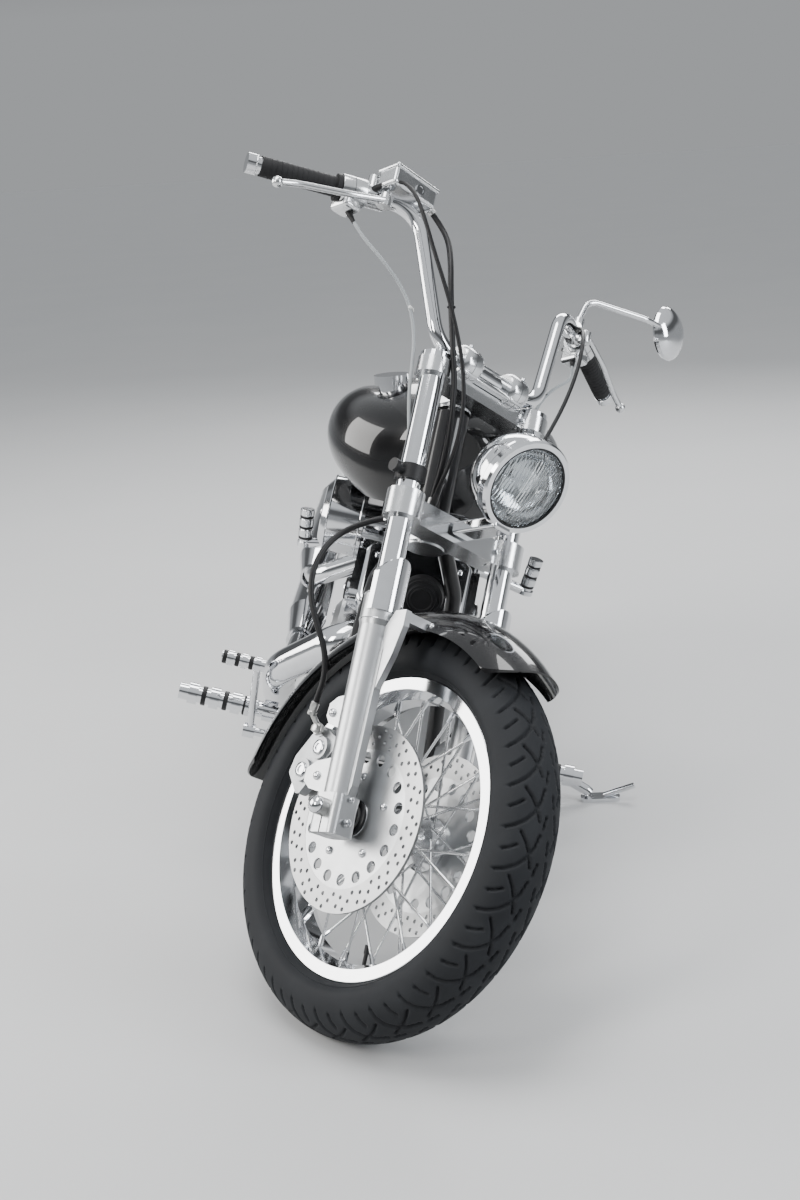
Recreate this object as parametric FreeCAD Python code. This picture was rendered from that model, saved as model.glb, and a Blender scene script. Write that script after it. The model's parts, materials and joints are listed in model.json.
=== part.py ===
import FreeCAD, Part
import math
import os

os.makedirs("parts", exist_ok=True)
V = FreeCAD.Vector

# Layout, in mm and degrees. The bike faces -Y, its left is +X, up is +Z.
RAKE = 33.0
TRAIL = 132.0
LEAN = 15.5
STEER = 40.0
TYRE_TO_FRAME = 100.5
FRAME_AHEAD = 392.0
PIVOT_BACK = 268.0
PIVOT_Z = 300.0
SWINGARM_LENGTH = 552.0
MOVING_GAP = 6.0

# Front wheel.
FRONT_TYRE_RADIUS = 327.5
FRONT_TYRE_HALF = 57.5
FRONT_TYRE_HEIGHT = 98.9
FRONT_RIM_HALF = 38.0
FRONT_DISC_RADIUS = 149.0
FRONT_DISC_INNER = 29.0
TYRE_TO_DISC = 23.0

# Rear wheel.
REAR_TYRE_RADIUS = 326.5
REAR_TYRE_HALF = 85.0
REAR_TYRE_HEIGHT = 136.0
REAR_RIM_HALF = 60.0
REAR_DISC_RADIUS = 141.0
REAR_DISC_X = -72.0

# Wheel fittings.
SPOKES = 40
SPOKE_RADIUS = 2.2
RIM_WELL = 16.0
DISC_THICK = 5.0
AXLE_RADIUS = 10.0
AXLE_BORE = 6.0
RUN_GAP = 0.5

# Fork, in its own frame: x left, y back, z up the fork, zero at the front axle.
SLIDER_RADIUS = 29.0
DISC_TO_SLIDER = 8.0
TUBE_RADIUS = 20.5
SLIDER_OVER_TYRE = 22.5
SLIDER_FOOT = 38.0
CLAMP_OVER_TYRE = 157.5
LOWER_CLAMP_HEIGHT = 45.0
HEAD_LENGTH = 208.0
UPPER_CLAMP_HEIGHT = 28.0
STEM_RADIUS = 13.0
HEAD_TUBE_RADIUS = 29.0
FRONT_FENDER_GAP = 33.0

# Handlebar, from the top of the upper clamp.
BAR_RADIUS = 12.7
BAR_RISE = 24.0
RISER_HALF = 57.0
BAR_FOOT = 64.0
BAR_UPRIGHT_X = 190.0
BAR_TOP = 264.0
BAR_TOP_BACK = 50.0
BAR_END_X = 440.0
BAR_END_BACK = 158.0
BAR_END_DROP = 28.0
GRIP_RADIUS = 17.0
GRIP_INNER_X = 318.0

# Headlamp.
LAMP_RADIUS = 81.0
LAMP_DEPTH = 118.0
LAMP_AHEAD = 150.0
LAMP_RISE = 37.0

# Engine.
CRANK = V(0, -40, 300)
VEE_HALF = 37.5
BARREL_RADIUS = 60.0
FIN_HALF_WIDTH = 104.0
FIN_HALF_DEPTH = 70.0
FINS = 9
FIN_PITCH = 11.0
FIN_THICK = 4.0
FIRST_FIN = 152.0
HEAD_HALF_WIDTH = 122.0
CASE_HALF = 88.0
PIPE_RADIUS = 24.0

# Frame, seat and rear fender.
RAIL_RADIUS = 14.0
CRADLE_HALF = 105.0
CRADLE_Z = 168.0
SEAT_GAP = 12.0
REAR_FENDER_GAP = 53.5
REAR_FENDER_SIDE = 27.0
FENDER_THICK = 4.0
STRUT_THICK = 12.0
STRUT_HOLE_RADIUS = 4.0

# Side stand, its foot given where it meets the floor.
STAND_PIVOT = V(152, 40, 205)
STAND_FOOT_X = 485.0
STAND_FOOT_Y = -12.0
STAND_RADIUS = 11.0
STAND_FOLDED = V(0.16, 0.98, -0.04)

# Derived chassis values.
SIN_R = math.sin(math.radians(RAKE))
COS_R = math.cos(math.radians(RAKE))
FORK_OFFSET = FRONT_TYRE_RADIUS * SIN_R - TRAIL * COS_R
FRONT_AXLE = V(0, -FRAME_AHEAD - TYRE_TO_FRAME - FRONT_TYRE_RADIUS, FRONT_TYRE_RADIUS)
REAR_AXLE = V(0, PIVOT_BACK + SWINGARM_LENGTH, REAR_TYRE_RADIUS)
FORK = FreeCAD.Placement(FRONT_AXLE, FreeCAD.Rotation(V(1, 0, 0), -RAKE))
AXIS_POINT = FORK.multVec(V(0, FORK_OFFSET, 0))
AXIS_DIR = FORK.Rotation.multVec(V(0, 0, 1))
FRONT_BEAD = FRONT_TYRE_RADIUS - FRONT_TYRE_HEIGHT
REAR_BEAD = REAR_TYRE_RADIUS - REAR_TYRE_HEIGHT
FRONT_DISC_X = FRONT_TYRE_HALF + TYRE_TO_DISC
FORK_HALF = FRONT_DISC_X + DISC_THICK / 2 + DISC_TO_SLIDER + SLIDER_RADIUS
SLIDER_TOP = FRONT_TYRE_RADIUS + SLIDER_OVER_TYRE
LOWER_CLAMP_Z = FRONT_TYRE_RADIUS + CLAMP_OVER_TYRE
HEAD_Z = LOWER_CLAMP_Z + LOWER_CLAMP_HEIGHT
UPPER_CLAMP_Z = HEAD_Z + HEAD_LENGTH
FORK_TOP = UPPER_CLAMP_Z + UPPER_CLAMP_HEIGHT
BAR_Z = FORK_TOP + BAR_RISE
FRONT_FENDER_CROWN = FRONT_TYRE_RADIUS + FRONT_FENDER_GAP + FENDER_THICK
REAR_FENDER_CROWN = REAR_TYRE_RADIUS + REAR_FENDER_GAP + FENDER_THICK
REAR_FENDER_HALF = REAR_TYRE_HALF + REAR_FENDER_SIDE
SEAT_Z = REAR_AXLE.z + REAR_TYRE_RADIUS - SEAT_GAP


def in_bike(x, y, z):
    """A point of the fork's frame in the straight bike's frame."""
    return FORK.multVec(V(x, y, z))


HEAD_LOW = in_bike(0, FORK_OFFSET, HEAD_Z + MOVING_GAP)
HEAD_HIGH = in_bike(0, FORK_OFFSET, UPPER_CLAMP_Z - MOVING_GAP)
HEAD_MID = (HEAD_LOW + HEAD_HIGH) * 0.5


# Basic shapes.
def cyl(p, q, radius):
    """Round bar from p to q."""
    return Part.makeCylinder(radius, (q - p).Length, p, q - p)


def cone(p, q, r_start, r_end):
    """Tapered bar from p to q."""
    return Part.makeCone(r_start, r_end, (q - p).Length, p, q - p)


def box(centre, width, depth, height, round_by=0.0):
    """Box about its centre, with rounded edges if asked."""
    corner = V(centre.x - width / 2, centre.y - depth / 2, centre.z - height / 2)
    shape = Part.makeBox(width, depth, height, corner)
    if round_by > 0:
        shape = shape.makeFillet(round_by, shape.Edges)
    return shape


def plate(centre, width, depth, height, corner):
    """Flat plate about its centre with round corners in plan."""
    shape = box(centre, width, depth, height)
    upright = [e for e in shape.Edges if abs(e.Vertexes[0].Z - e.Vertexes[1].Z) > height / 2]
    return shape.makeFillet(corner, upright)


def fuse(shapes):
    """One solid from touching shapes."""
    if len(shapes) == 1:
        return shapes[0]
    return shapes[0].multiFuse(shapes[1:]).removeSplitter()


def mirrored(shape):
    """The same shape on the other side of the bike."""
    return shape.mirror(V(0, 0, 0), V(1, 0, 0))


def both(shape):
    """The shape and its mirror image, as one node of two solids."""
    return Part.makeCompound([shape, mirrored(shape)])


def prism_x(points, x_low, x_high, corner=0.0):
    """Outline in y and z drawn out along x, with round corners if asked."""
    rim = [V(x_low, y, z) for y, z in points]
    solid = Part.Face(Part.makePolygon(rim + [rim[0]])).extrude(V(x_high - x_low, 0, 0))
    if corner > 0:
        lengthwise = [e for e in solid.Edges if abs(e.Vertexes[0].X - e.Vertexes[1].X) > 1e-6]
        solid = solid.makeFillet(corner, lengthwise)
    return solid


def outline_edges(points):
    """Edges through rows of x, r or of arc middle x, r and end x, r."""
    edges = []
    here = V(points[0][0], 0, points[0][1])
    first = here
    for row in points[1:]:
        end = V(row[-2], 0, row[-1])
        if len(row) == 4:
            edges.append(Part.Arc(here, V(row[0], 0, row[1]), end).toShape())
        else:
            edges.append(Part.makeLine(here, end))
        here = end
    if (here - first).Length > 1e-6:
        edges.append(Part.makeLine(here, first))
    return edges


def turned(points, angle=360.0, start=0.0):
    """Outline in x and radius turned about the x axis."""
    face = Part.Face(Part.Wire(outline_edges(points)))
    face.rotate(V(0, 0, 0), V(1, 0, 0), start)
    return face.revolve(V(0, 0, 0), V(1, 0, 0), angle)


def corner_bends(points, wanted):
    """Bend radius at each corner, no larger than its two runs allow."""
    bends = []
    for i in range(1, len(points) - 1):
        back = points[i - 1] - points[i]
        ahead = points[i + 1] - points[i]
        half_turn = (math.pi - back.getAngle(ahead)) / 2
        room = 0.45 * min(back.Length, ahead.Length) / math.tan(half_turn)
        bends.append(min(wanted, room) if wanted else room)
    return bends


def tube_path(points, bends):
    """Straight runs joined by tangent arcs."""
    edges = []
    here = points[0]
    for i, bend in enumerate(bends, 1):
        back = (points[i - 1] - points[i]).normalize()
        ahead = (points[i + 1] - points[i]).normalize()
        turn = math.pi - back.getAngle(ahead)
        start = points[i] + back * bend * math.tan(turn / 2)
        end = points[i] + ahead * bend * math.tan(turn / 2)
        centre = points[i] + (back + ahead).normalize() * (bend / math.cos(turn / 2))
        middle = centre + (points[i] - centre).normalize() * bend
        edges.append(Part.makeLine(here, start))
        edges.append(Part.Arc(start, middle, end).toShape())
        here = end
    edges.append(Part.makeLine(here, points[-1]))
    return Part.Wire(edges)


def bent_tube(points, radius, bend):
    """Round bar swept along straight runs and arcs."""
    path = tube_path(points, corner_bends(points, bend))
    section = Part.Wire([Part.makeCircle(radius, points[0], points[1] - points[0])])
    return path.makePipeShell([section], True, False)


def cord(name, points, diameter):
    """Hose or cable along its route, with arcs as large as its runs allow."""
    bends = corner_bends(points, None)
    path = tube_path(points, bends)
    section = Part.Wire([Part.makeCircle(diameter / 2, points[0], points[1] - points[0])])
    tube = path.makePipeShell([section], True, False)
    expected = math.pi * diameter ** 2 / 4 * path.Length
    print("cord", name, "length", round(path.Length, 1), "radii", [round(b) for b in bends],
          "volume ratio", round(tube.Volume / expected, 5))
    return tube


def section_wire(y, w, wt, wb, zb, zm, zs, zt):
    """Closed section of a tank or seat: flat bottom, bulged sides, crowned top."""
    p = [V(-wb, y, zb), V(-w, y, zm), V(-wt, y, zs), V(0, y, zt), V(wt, y, zs), V(w, y, zm), V(wb, y, zb)]
    edges = [
        Part.Arc(p[0], p[1], p[2]).toShape(),
        Part.Arc(p[2], p[3], p[4]).toShape(),
        Part.Arc(p[4], p[5], p[6]).toShape(),
        Part.makeLine(p[6], p[0]),
    ]
    return Part.Wire(edges)


def lofted(rows, at):
    """Solid through sections from a table, moved to its place."""
    solid = Part.makeLoft([section_wire(*row) for row in rows], True, False)
    solid.translate(at)
    return solid


# Wheels, each about its axle.
def tyre(radius, half, bead, rim_half, shoulder):
    """Tyre with round crown, sloped sides and bead feet inside the rim's flanges."""
    mid = radius - half
    inner = rim_half - 8
    return turned([
        (-inner, bead), (-inner, bead + 15), (-rim_half - 3, bead + 18), (-half + shoulder, mid - 14), (-half, mid),
        (0, radius, half, mid), (half - shoulder, mid - 14), (rim_half + 3, bead + 18),
        (inner, bead + 15), (inner, bead),
    ])


def front_tyre():
    return tyre(FRONT_TYRE_RADIUS, FRONT_TYRE_HALF, FRONT_BEAD, FRONT_RIM_HALF, 2)


def rear_tyre():
    return tyre(REAR_TYRE_RADIUS, REAR_TYRE_HALF, REAR_BEAD, REAR_RIM_HALF, 3)


def rim(bead, half):
    """Rolled rim: flange lips, bead seats and a dropped well."""
    lip = half - 8
    well = half * 0.42
    return turned([
        (-lip, bead), (-lip, bead + 14), (-half + 4, bead + 17, -half, bead + 14), (-half, bead - 5),
        (-well, bead - RIM_WELL), (well, bead - RIM_WELL), (half, bead - 5), (half, bead + 14),
        (half - 4, bead + 17, lip, bead + 14), (lip, bead),
    ])


def front_rim():
    return rim(FRONT_BEAD, FRONT_RIM_HALF)


def rear_rim():
    return rim(REAR_BEAD, REAR_RIM_HALF)


def laced_spokes(rim_radius, hub_radius, flange_x, rim_x, swing):
    """Spokes from two hub flanges, leaning by turns ahead and back, so that they cross."""
    spokes = []
    for i in range(SPOKES):
        side = 1 if i % 2 == 0 else -1
        lean = 1 if (i // 2) % 2 == 0 else -1
        at_rim = math.radians(360.0 * i / SPOKES)
        at_hub = at_rim + math.radians(lean * swing)
        x_hub = side * (flange_x + lean * (SPOKE_RADIUS + 0.2))
        p = V(x_hub, hub_radius * math.cos(at_hub), hub_radius * math.sin(at_hub))
        q = V(side * rim_x, rim_radius * math.cos(at_rim), rim_radius * math.sin(at_rim))
        spokes.append(cyl(p, q, SPOKE_RADIUS))
    return spokes


def front_hub():
    """Spool hub with two spoke flanges, seats for the discs and its spokes."""
    bore = AXLE_RADIUS + RUN_GAP
    end = FRONT_DISC_X + 7.5
    seat = FRONT_DISC_X - DISC_THICK / 2
    flange = FRONT_DISC_X - 26
    core = turned([
        (-end, bore), (-end, FRONT_DISC_INNER), (-seat, FRONT_DISC_INNER), (-seat, 46), (-seat + 5, 46),
        (-flange - 9, 31), (-flange - 4, 40), (-flange + 4, 40), (-flange + 9, 27), (0, 21, flange - 9, 27),
        (flange - 4, 40), (flange + 4, 40), (flange + 9, 31), (seat - 5, 46), (seat, 46),
        (seat, FRONT_DISC_INNER), (end, FRONT_DISC_INNER), (end, bore),
    ])
    return fuse([core] + laced_spokes(FRONT_BEAD - RIM_WELL / 2, 35, flange, 9, 62))


def rear_hub():
    bore = AXLE_RADIUS + RUN_GAP
    core = turned([
        (-80, bore), (-80, 36), (-66, 36), (-62, 46), (-60, 54), (-54, 54), (-48, 44),
        (48, 44), (54, 56), (60, 56), (64, 50), (78, 50), (78, bore),
    ])
    return fuse([core] + laced_spokes(REAR_BEAD - RIM_WELL / 2, 50, 55, 16, 54))


def disc(x, radius, inner, ring, hole_radius, holes):
    """Brake disc with a ring of lightening holes in its carrier."""
    half = DISC_THICK / 2
    shape = turned([(x - half, inner), (x - half, radius), (x + half, radius), (x + half, inner)])
    cuts = []
    for i in range(holes):
        a = 2 * math.pi * i / holes
        cuts.append(Part.makeCylinder(hole_radius, 4 * half, V(x - 2 * half, ring * math.cos(a), ring * math.sin(a)),
                                      V(1, 0, 0)))
    return shape.cut(Part.makeCompound(cuts))


def front_discs():
    return Part.makeCompound([
        disc(side * FRONT_DISC_X, FRONT_DISC_RADIUS, FRONT_DISC_INNER, FRONT_DISC_RADIUS * 0.65, 9.5, 18)
        for side in (-1, 1)
    ])


def rear_disc():
    return disc(REAR_DISC_X, REAR_DISC_RADIUS, 36, REAR_DISC_RADIUS * 0.68, 9, 12)


# Fork and what it carries, in the fork's frame.
def clamp_plate(low, height, wall, nose, front, bores):
    """Yoke with a ring for each fork tube and a boss round the stem."""
    rings = [Part.makeCylinder(TUBE_RADIUS + wall, height, V(s * FORK_HALF, 0, low)) for s in (-1, 1)]
    bridge = box(V(0, FORK_OFFSET / 4, low + height / 2), 2 * FORK_HALF, FORK_OFFSET / 2 + 2 * front, height - 4)
    web = box(V(0, FORK_OFFSET * 0.6, low + height / 2), 1.3 * nose + 30, FORK_OFFSET * 0.8, height - 8)
    boss = Part.makeCylinder(nose, height, V(0, FORK_OFFSET, low))
    holes = [Part.makeCylinder(TUBE_RADIUS, height, V(s * FORK_HALF, 0, low)) for s in (-1, 1)]
    return fuse(rings + [bridge, web, boss]).cut(Part.makeCompound(holes + bores))


def lower_clamp():
    yoke = clamp_plate(LOWER_CLAMP_Z, LOWER_CLAMP_HEIGHT, 11, 34, 9, [])
    stem = Part.makeCylinder(STEM_RADIUS, FORK_TOP + 8 - LOWER_CLAMP_Z, V(0, FORK_OFFSET, LOWER_CLAMP_Z))
    nut = Part.makeCylinder(STEM_RADIUS + 5, 9, V(0, FORK_OFFSET, FORK_TOP))
    dome = Part.makeCone(STEM_RADIUS + 5, STEM_RADIUS, 4, V(0, FORK_OFFSET, FORK_TOP + 9))
    return fuse([yoke, stem, nut, dome])


def upper_clamp():
    stem_hole = Part.makeCylinder(STEM_RADIUS, UPPER_CLAMP_HEIGHT, V(0, FORK_OFFSET, UPPER_CLAMP_Z))
    return clamp_plate(UPPER_CLAMP_Z, UPPER_CLAMP_HEIGHT, 10, 30, 6, [stem_hole])


def fork_tubes():
    tubes = []
    for s in (-1, 1):
        x = s * FORK_HALF
        tube = Part.makeCylinder(TUBE_RADIUS, FORK_TOP - SLIDER_TOP, V(x, 0, SLIDER_TOP))
        cap = Part.makeCylinder(TUBE_RADIUS + 7, 10, V(x, 0, FORK_TOP))
        dome = Part.makeCone(TUBE_RADIUS + 7, TUBE_RADIUS - 6, 7, V(x, 0, FORK_TOP + 10))
        tubes.append(fuse([tube, cap, dome]))
    return Part.makeCompound(tubes)


def fork_slider(side):
    """Cast lower leg: collar, tapered leg, square foot, fender arm and caliper lugs."""
    x = side * FORK_HALF
    collar = Part.makeCylinder(SLIDER_RADIUS + 1.5, 44, V(x, 0, SLIDER_TOP - 44))
    step = Part.makeCone(SLIDER_RADIUS - 1, SLIDER_RADIUS + 1.5, 10, V(x, 0, SLIDER_TOP - 54))
    leg = Part.makeCone(SLIDER_RADIUS - 4, SLIDER_RADIUS - 1, SLIDER_TOP - 54, V(x, 0, 0))
    foot = plate(V(x, 2, -SLIDER_FOOT / 2 + 12), 2 * SLIDER_RADIUS - 6, 56, SLIDER_FOOT + 24, 12)
    keel = prism_x([(-25, 20), (-31, 40), (-33, SLIDER_TOP - 90), (-20, SLIDER_TOP - 60)], x - 7, x + 7)
    lower_lug = prism_x([(16, 24), (66, 34), (82, 46), (82, 66), (60, 78), (20, 84)], x - 10, x + 4)
    upper_lug = prism_x([(16, 128), (52, 138), (62, 152), (60, 172), (44, 182), (18, 186)], x - 10, x + 4)
    arm = prism_x([
        (-16, 180), (-34, 196), (-56, 250), (-68, 296), (-68, SLIDER_TOP - 28), (-44, SLIDER_TOP - 28), (-20, 286),
    ], x - 6, x + 6)
    tab_end = FRONT_TYRE_HALF + MOVING_GAP + 4
    tab = box(V(side * (FORK_HALF + tab_end) / 2, -56, SLIDER_TOP - 37), FORK_HALF - tab_end, 18, 16)
    slider = fuse([collar, step, leg, foot, keel, lower_lug, upper_lug, arm, tab])
    hole = cyl(V(x - 40, 0, 0), V(x + 40, 0, 0), AXLE_RADIUS)
    slot = box(V(x, 0, -SLIDER_FOOT), 90, 3, 2 * SLIDER_FOOT - 4)
    return slider.cut(Part.makeCompound([hole, slot]))


def fork_sliders():
    return Part.makeCompound([fork_slider(-1), fork_slider(1)])


def tube_guards():
    """Half-round stone guards with arched tops, on the front of the slider collars."""
    guards = []
    inner_radius = SLIDER_RADIUS + 1.5
    for side in (-1, 1):
        x = side * FORK_HALF
        low = SLIDER_TOP - 30
        shell = Part.makeCylinder(inner_radius + 3, 96, V(x, 0, low))
        shell = shell.cut(Part.makeCylinder(inner_radius, 96, V(x, 0, low)))
        straight = box(V(x, -30, low + 30), 62, 56, 60)
        arch = Part.makeCylinder(31, 56, V(x, -58, low + 60), V(0, 1, 0))
        guards.append(shell.common(fuse([straight, arch])))
    return Part.makeCompound(guards)


def tube_band():
    """Rubber band clamp with a stub, on the right fork tube above the lower clamp."""
    x = -FORK_HALF
    low = HEAD_Z + 18
    ring = Part.makeCylinder(TUBE_RADIUS + 5, 26, V(x, 0, low))
    stub = cyl(V(x, 0, low + 13), V(x - 42, -6, low + 13), 8)
    knob = cyl(V(x - 38, -6, low + 13), V(x - 46, -6, low + 13), 11)
    return fuse([ring, stub, knob]).cut(Part.makeCylinder(TUBE_RADIUS, 26, V(x, 0, low)))


def bar_points():
    """Right half mirrored to the left, through the risers."""
    up = V(BAR_UPRIGHT_X, BAR_TOP_BACK, FORK_TOP + BAR_TOP)
    end = V(BAR_END_X, BAR_END_BACK, FORK_TOP + BAR_TOP - BAR_END_DROP)
    half = [V(RISER_HALF + BAR_FOOT, 0, BAR_Z), up, end]
    return [V(-p.x, p.y, p.z) for p in reversed(half)] + half


def along_grip(x):
    """Point on the straight outer run of the bar at the given x."""
    p, q = bar_points()[-2:]
    t = (abs(x) - p.x) / (q.x - p.x)
    point = p + (q - p) * t
    return V(math.copysign(point.x, x), point.y, point.z)


def by_grip(x, back, up):
    """A place beside the outer run of the bar."""
    return along_grip(x) + V(0, back, up)


def handlebar():
    """Bent bar with a chrome plug past each grip."""
    parts = [bent_tube(bar_points(), BAR_RADIUS, 62.0)]
    for side in (-1, 1):
        parts.append(cyl(along_grip(side * (BAR_END_X - 6)), along_grip(side * (BAR_END_X + 10)), GRIP_RADIUS - 3))
        parts.append(cyl(along_grip(side * (BAR_END_X + 10)), along_grip(side * (BAR_END_X + 26)), GRIP_RADIUS))
    return fuse(parts)


def risers():
    """Two clamp posts under one polished cover."""
    parts = []
    top = BAR_Z + BAR_RADIUS + 4
    for s in (-1, 1):
        x = s * RISER_HALF
        parts.append(box(V(x, 0, (FORK_TOP + top) / 2), 30, 42, top - FORK_TOP))
    parts.append(plate(V(0, 0, top + 5), 2 * RISER_HALF + 40, 46, 10, 9))
    return fuse(parts)


def grips():
    """Rubber grips with a bulged inner flange."""
    inner = GRIP_INNER_X
    sleeve = cyl(along_grip(inner), along_grip(BAR_END_X + 4), GRIP_RADIUS)
    flange = cyl(along_grip(inner), along_grip(inner + 7), GRIP_RADIUS + 6)
    return both(fuse([sleeve, flange]))


def switch_housing(side):
    """Clamped switch pod beside the grip, with a button block under it."""
    pod = cyl(along_grip(side * (GRIP_INNER_X - 40)), along_grip(side * (GRIP_INNER_X - 1)), GRIP_RADIUS + 8)
    block = by_grip(side * (GRIP_INNER_X - 20), 8, -16)
    return fuse([pod, box(block, 36, 44, 40, 7)])


def perch(side):
    """Lever bracket: clamp band and a forked arm to the lever's pivot."""
    near = GRIP_INNER_X - 72
    clamp = cyl(along_grip(side * near), along_grip(side * (near + 28)), BAR_RADIUS + 7)
    reach = by_grip(side * (near + 14), -30, -16)
    post = cyl(by_grip(side * (near + 14), 0, 0), reach, 11)
    boss = cyl(reach + V(0, 0, -10), reach + V(0, 0, 12), 12)
    return fuse([clamp, post, boss])


def lever_set(side):
    """Curved lever blade with its pivot eye and ball end."""
    pivot = by_grip(side * (GRIP_INNER_X - 58), -30, -16)
    points = [
        pivot + V(side * 8, -6, -2), by_grip(side * (GRIP_INNER_X + 10), -52, -30),
        by_grip(side * (GRIP_INNER_X + 90), -50, -36), by_grip(side * (BAR_END_X + 2), -58, -46),
    ]
    blade = bent_tube(points, 5.5, 90.0)
    return fuse([blade, Part.makeSphere(9.5, points[-1])])


def levers():
    return Part.makeCompound([lever_set(-1), lever_set(1)])


MIRROR_BOSS = by_grip(-(GRIP_INNER_X - 50), -2, 36)
MIRROR_BOSS_DEPTH = 14.0
MIRROR_BOSS_RADIUS = 5.0
RESERVOIR = V(-228, 40, along_grip(-228).z + 18)


def right_controls():
    """Switch pod, brake perch, oblong fluid reservoir and the mirror's empty boss."""
    tank = box(RESERVOIR, 96, 46, 34, 6)
    lid = box(RESERVOIR + V(0, 0, 17), 100, 50, 7, 3)
    boss = cyl(MIRROR_BOSS - V(0, 0, 32), MIRROR_BOSS, 11)
    hole = cyl(MIRROR_BOSS - V(0, 0, MIRROR_BOSS_DEPTH), MIRROR_BOSS + V(0, 0, 4), MIRROR_BOSS_RADIUS)
    return fuse([switch_housing(-1), perch(-1), tank, lid, boss]).cut(hole)


def left_controls():
    """Switch pod, clutch perch and the boss that holds the mirror."""
    boss = cyl(by_grip(GRIP_INNER_X - 50, -2, 4), by_grip(GRIP_INNER_X - 50, -2, 36), 11)
    return fuse([switch_housing(1), perch(1), boss])


def mirror():
    """Bent stalk and a tapered round head."""
    root = by_grip(GRIP_INNER_X - 50, -2, 36)
    head = V(478, 42, FORK_TOP + 358)
    stalk = bent_tube([root, root + V(10, -4, 44), V(400, 30, FORK_TOP + 344), head], 5.5, 40.0)
    shell = Part.Face(Part.Wire(outline_edges([(0, 0), (0, 50), (5, 53), (11, 51), (22, 38, 30, 0)])))
    shell = shell.revolve(V(0, 0, 0), V(1, 0, 0), 360)
    shell.rotate(V(0, 0, 0), V(0, 0, 1), -90)
    shell.rotate(V(0, 0, 0), V(0, 0, 1), 12)
    shell.translate(head + V(0, 12, 0))
    return fuse([stalk, shell])


# Headlamp, level with the ground when the bike stands straight.
LAMP_AT = V(0, -LAMP_AHEAD, HEAD_Z + LAMP_RISE)


def lamp_turned(rows):
    """Outline in depth and radius turned about the lamp's own axis."""
    shape = Part.Face(Part.Wire(outline_edges(rows))).revolve(V(0, 0, 0), V(1, 0, 0), 360)
    shape.rotate(V(0, 0, 0), V(0, 0, 1), 90)
    shape.rotate(V(0, 0, 0), V(1, 0, 0), RAKE)
    shape.translate(LAMP_AT)
    return shape


def headlamp():
    """Deep bowl with a rolled front ring, open to its reflector, on its bracket."""
    r = LAMP_RADIUS
    bowl = lamp_turned([
        (0, r - 11), (0, r - 3), (5, r), (16, r), (20, r - 5), (26, r - 4), (LAMP_DEPTH * 0.72, r * 0.72, LAMP_DEPTH, 0),
        (62, 0), (46, r * 0.62, 8, r - 11),
    ])
    post = cyl(V(0, -LAMP_AHEAD * 0.66, LOWER_CLAMP_Z + 24), V(0, -LAMP_AHEAD * 0.6, HEAD_Z + 2), 13)
    foot = box(V(0, -LAMP_AHEAD * 0.37, LOWER_CLAMP_Z + 24), 40, LAMP_AHEAD * 0.74, 22, 5)
    cut = box(V(0, 0, LOWER_CLAMP_Z + 24), 60, 30, 60)
    return fuse([bowl, post, foot.cut(cut)])


def headlamp_lens():
    """Domed glass in the ring."""
    r = LAMP_RADIUS - 12
    return lamp_turned([(3, 0), (3, r), (7.5, r), (-2.5, r / 2, -5, 0)])


# Front fender, calipers and axle.
def fender_section(half, side_r, crown_r, thick):
    return [
        (-half, side_r), (0, crown_r, half, side_r), (half - thick, side_r),
        (0, crown_r - thick, -half + thick, side_r),
    ]


def end_cutters(half, crown, angle, way, corner):
    """Tools that round both corners of a fender's end."""
    tools = []
    for side in (-1, 1):
        block = box(V(side * (half - corner / 2 + 5), way * (-corner / 2 + 5), crown - 60), corner + 10, corner + 10, 200)
        post = Part.makeCylinder(corner, 200, V(side * (half - corner), -way * corner, crown - 160))
        tool = block.cut(post)
        tool.rotate(V(0, 0, 0), V(1, 0, 0), angle)
        tools.append(tool)
    return tools


def arched_fender(half, side_r, crown, ahead, behind, corner):
    """Mudguard from an angle ahead of the top to one behind it, with round corners."""
    shape = turned(fender_section(half, side_r, crown, FENDER_THICK), ahead + behind, -behind)
    tools = end_cutters(half, crown, ahead, -1, corner) + end_cutters(half, crown, -behind, 1, corner)
    return shape.cut(Part.makeCompound(tools))


def front_fender():
    half = FRONT_TYRE_HALF + 18.5
    return arched_fender(half, FRONT_TYRE_RADIUS - 16, FRONT_FENDER_CROWN, 47, 77, 42)


def disc_room(x, radius):
    """Space that a turning disc needs."""
    gap = DISC_THICK / 2 + MOVING_GAP
    return turned([(x - gap, 0), (x - gap, radius + MOVING_GAP), (x + gap, radius + MOVING_GAP), (x + gap, 0)])


def caliper(x, outward, radius, angle):
    """Two-piston caliper astride a disc, its middle at the given angle from level."""
    reach = radius - 10
    body = prism_x([(-30, -52), (-24, -58), (20, -50), (32, -24), (32, 24), (20, 50), (-24, 58), (-30, 52)],
                   x - 27, x + 27, 5)
    domes = []
    for z in (-24, 24):
        domes.append(cyl(V(x + outward * 20, -6, z), V(x + outward * 33, -6, z), 19))
    shape = fuse([body] + domes)
    shape.translate(V(0, reach, 0))
    shape.rotate(V(0, 0, 0), V(1, 0, 0), angle)
    return shape.cut(disc_room(x, radius))


def front_calipers():
    return Part.makeCompound([caliper(side * FRONT_DISC_X, side, FRONT_DISC_RADIUS, 41) for side in (-1, 1)])


def front_axle():
    """Hollow axle with its head, end cap and wheel spacers."""
    half = FORK_HALF + 28
    shaft = cyl(V(-half, 0, 0), V(half, 0, 0), AXLE_RADIUS)
    head = cyl(V(-half - 12, 0, 0), V(-half + 2, 0, 0), AXLE_RADIUS + 4)
    spacers = []
    for side in (-1, 1):
        low = V(side * (FRONT_DISC_X + 9), 0, 0)
        spacers.append(cyl(low, V(side * (FORK_HALF - SLIDER_RADIUS + 3), 0, 0), 22))
    hollow = cyl(V(-2 * half, 0, 0), V(2 * half, 0, 0), AXLE_BORE)
    return fuse([shaft, head] + spacers).cut(hollow)


# Hoses and cables on the steering, in the fork's frame.
HOSE_DIAMETER = 10.0
CABLE_DIAMETER = 7.0
CORD_SEAT = 3.0


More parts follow.
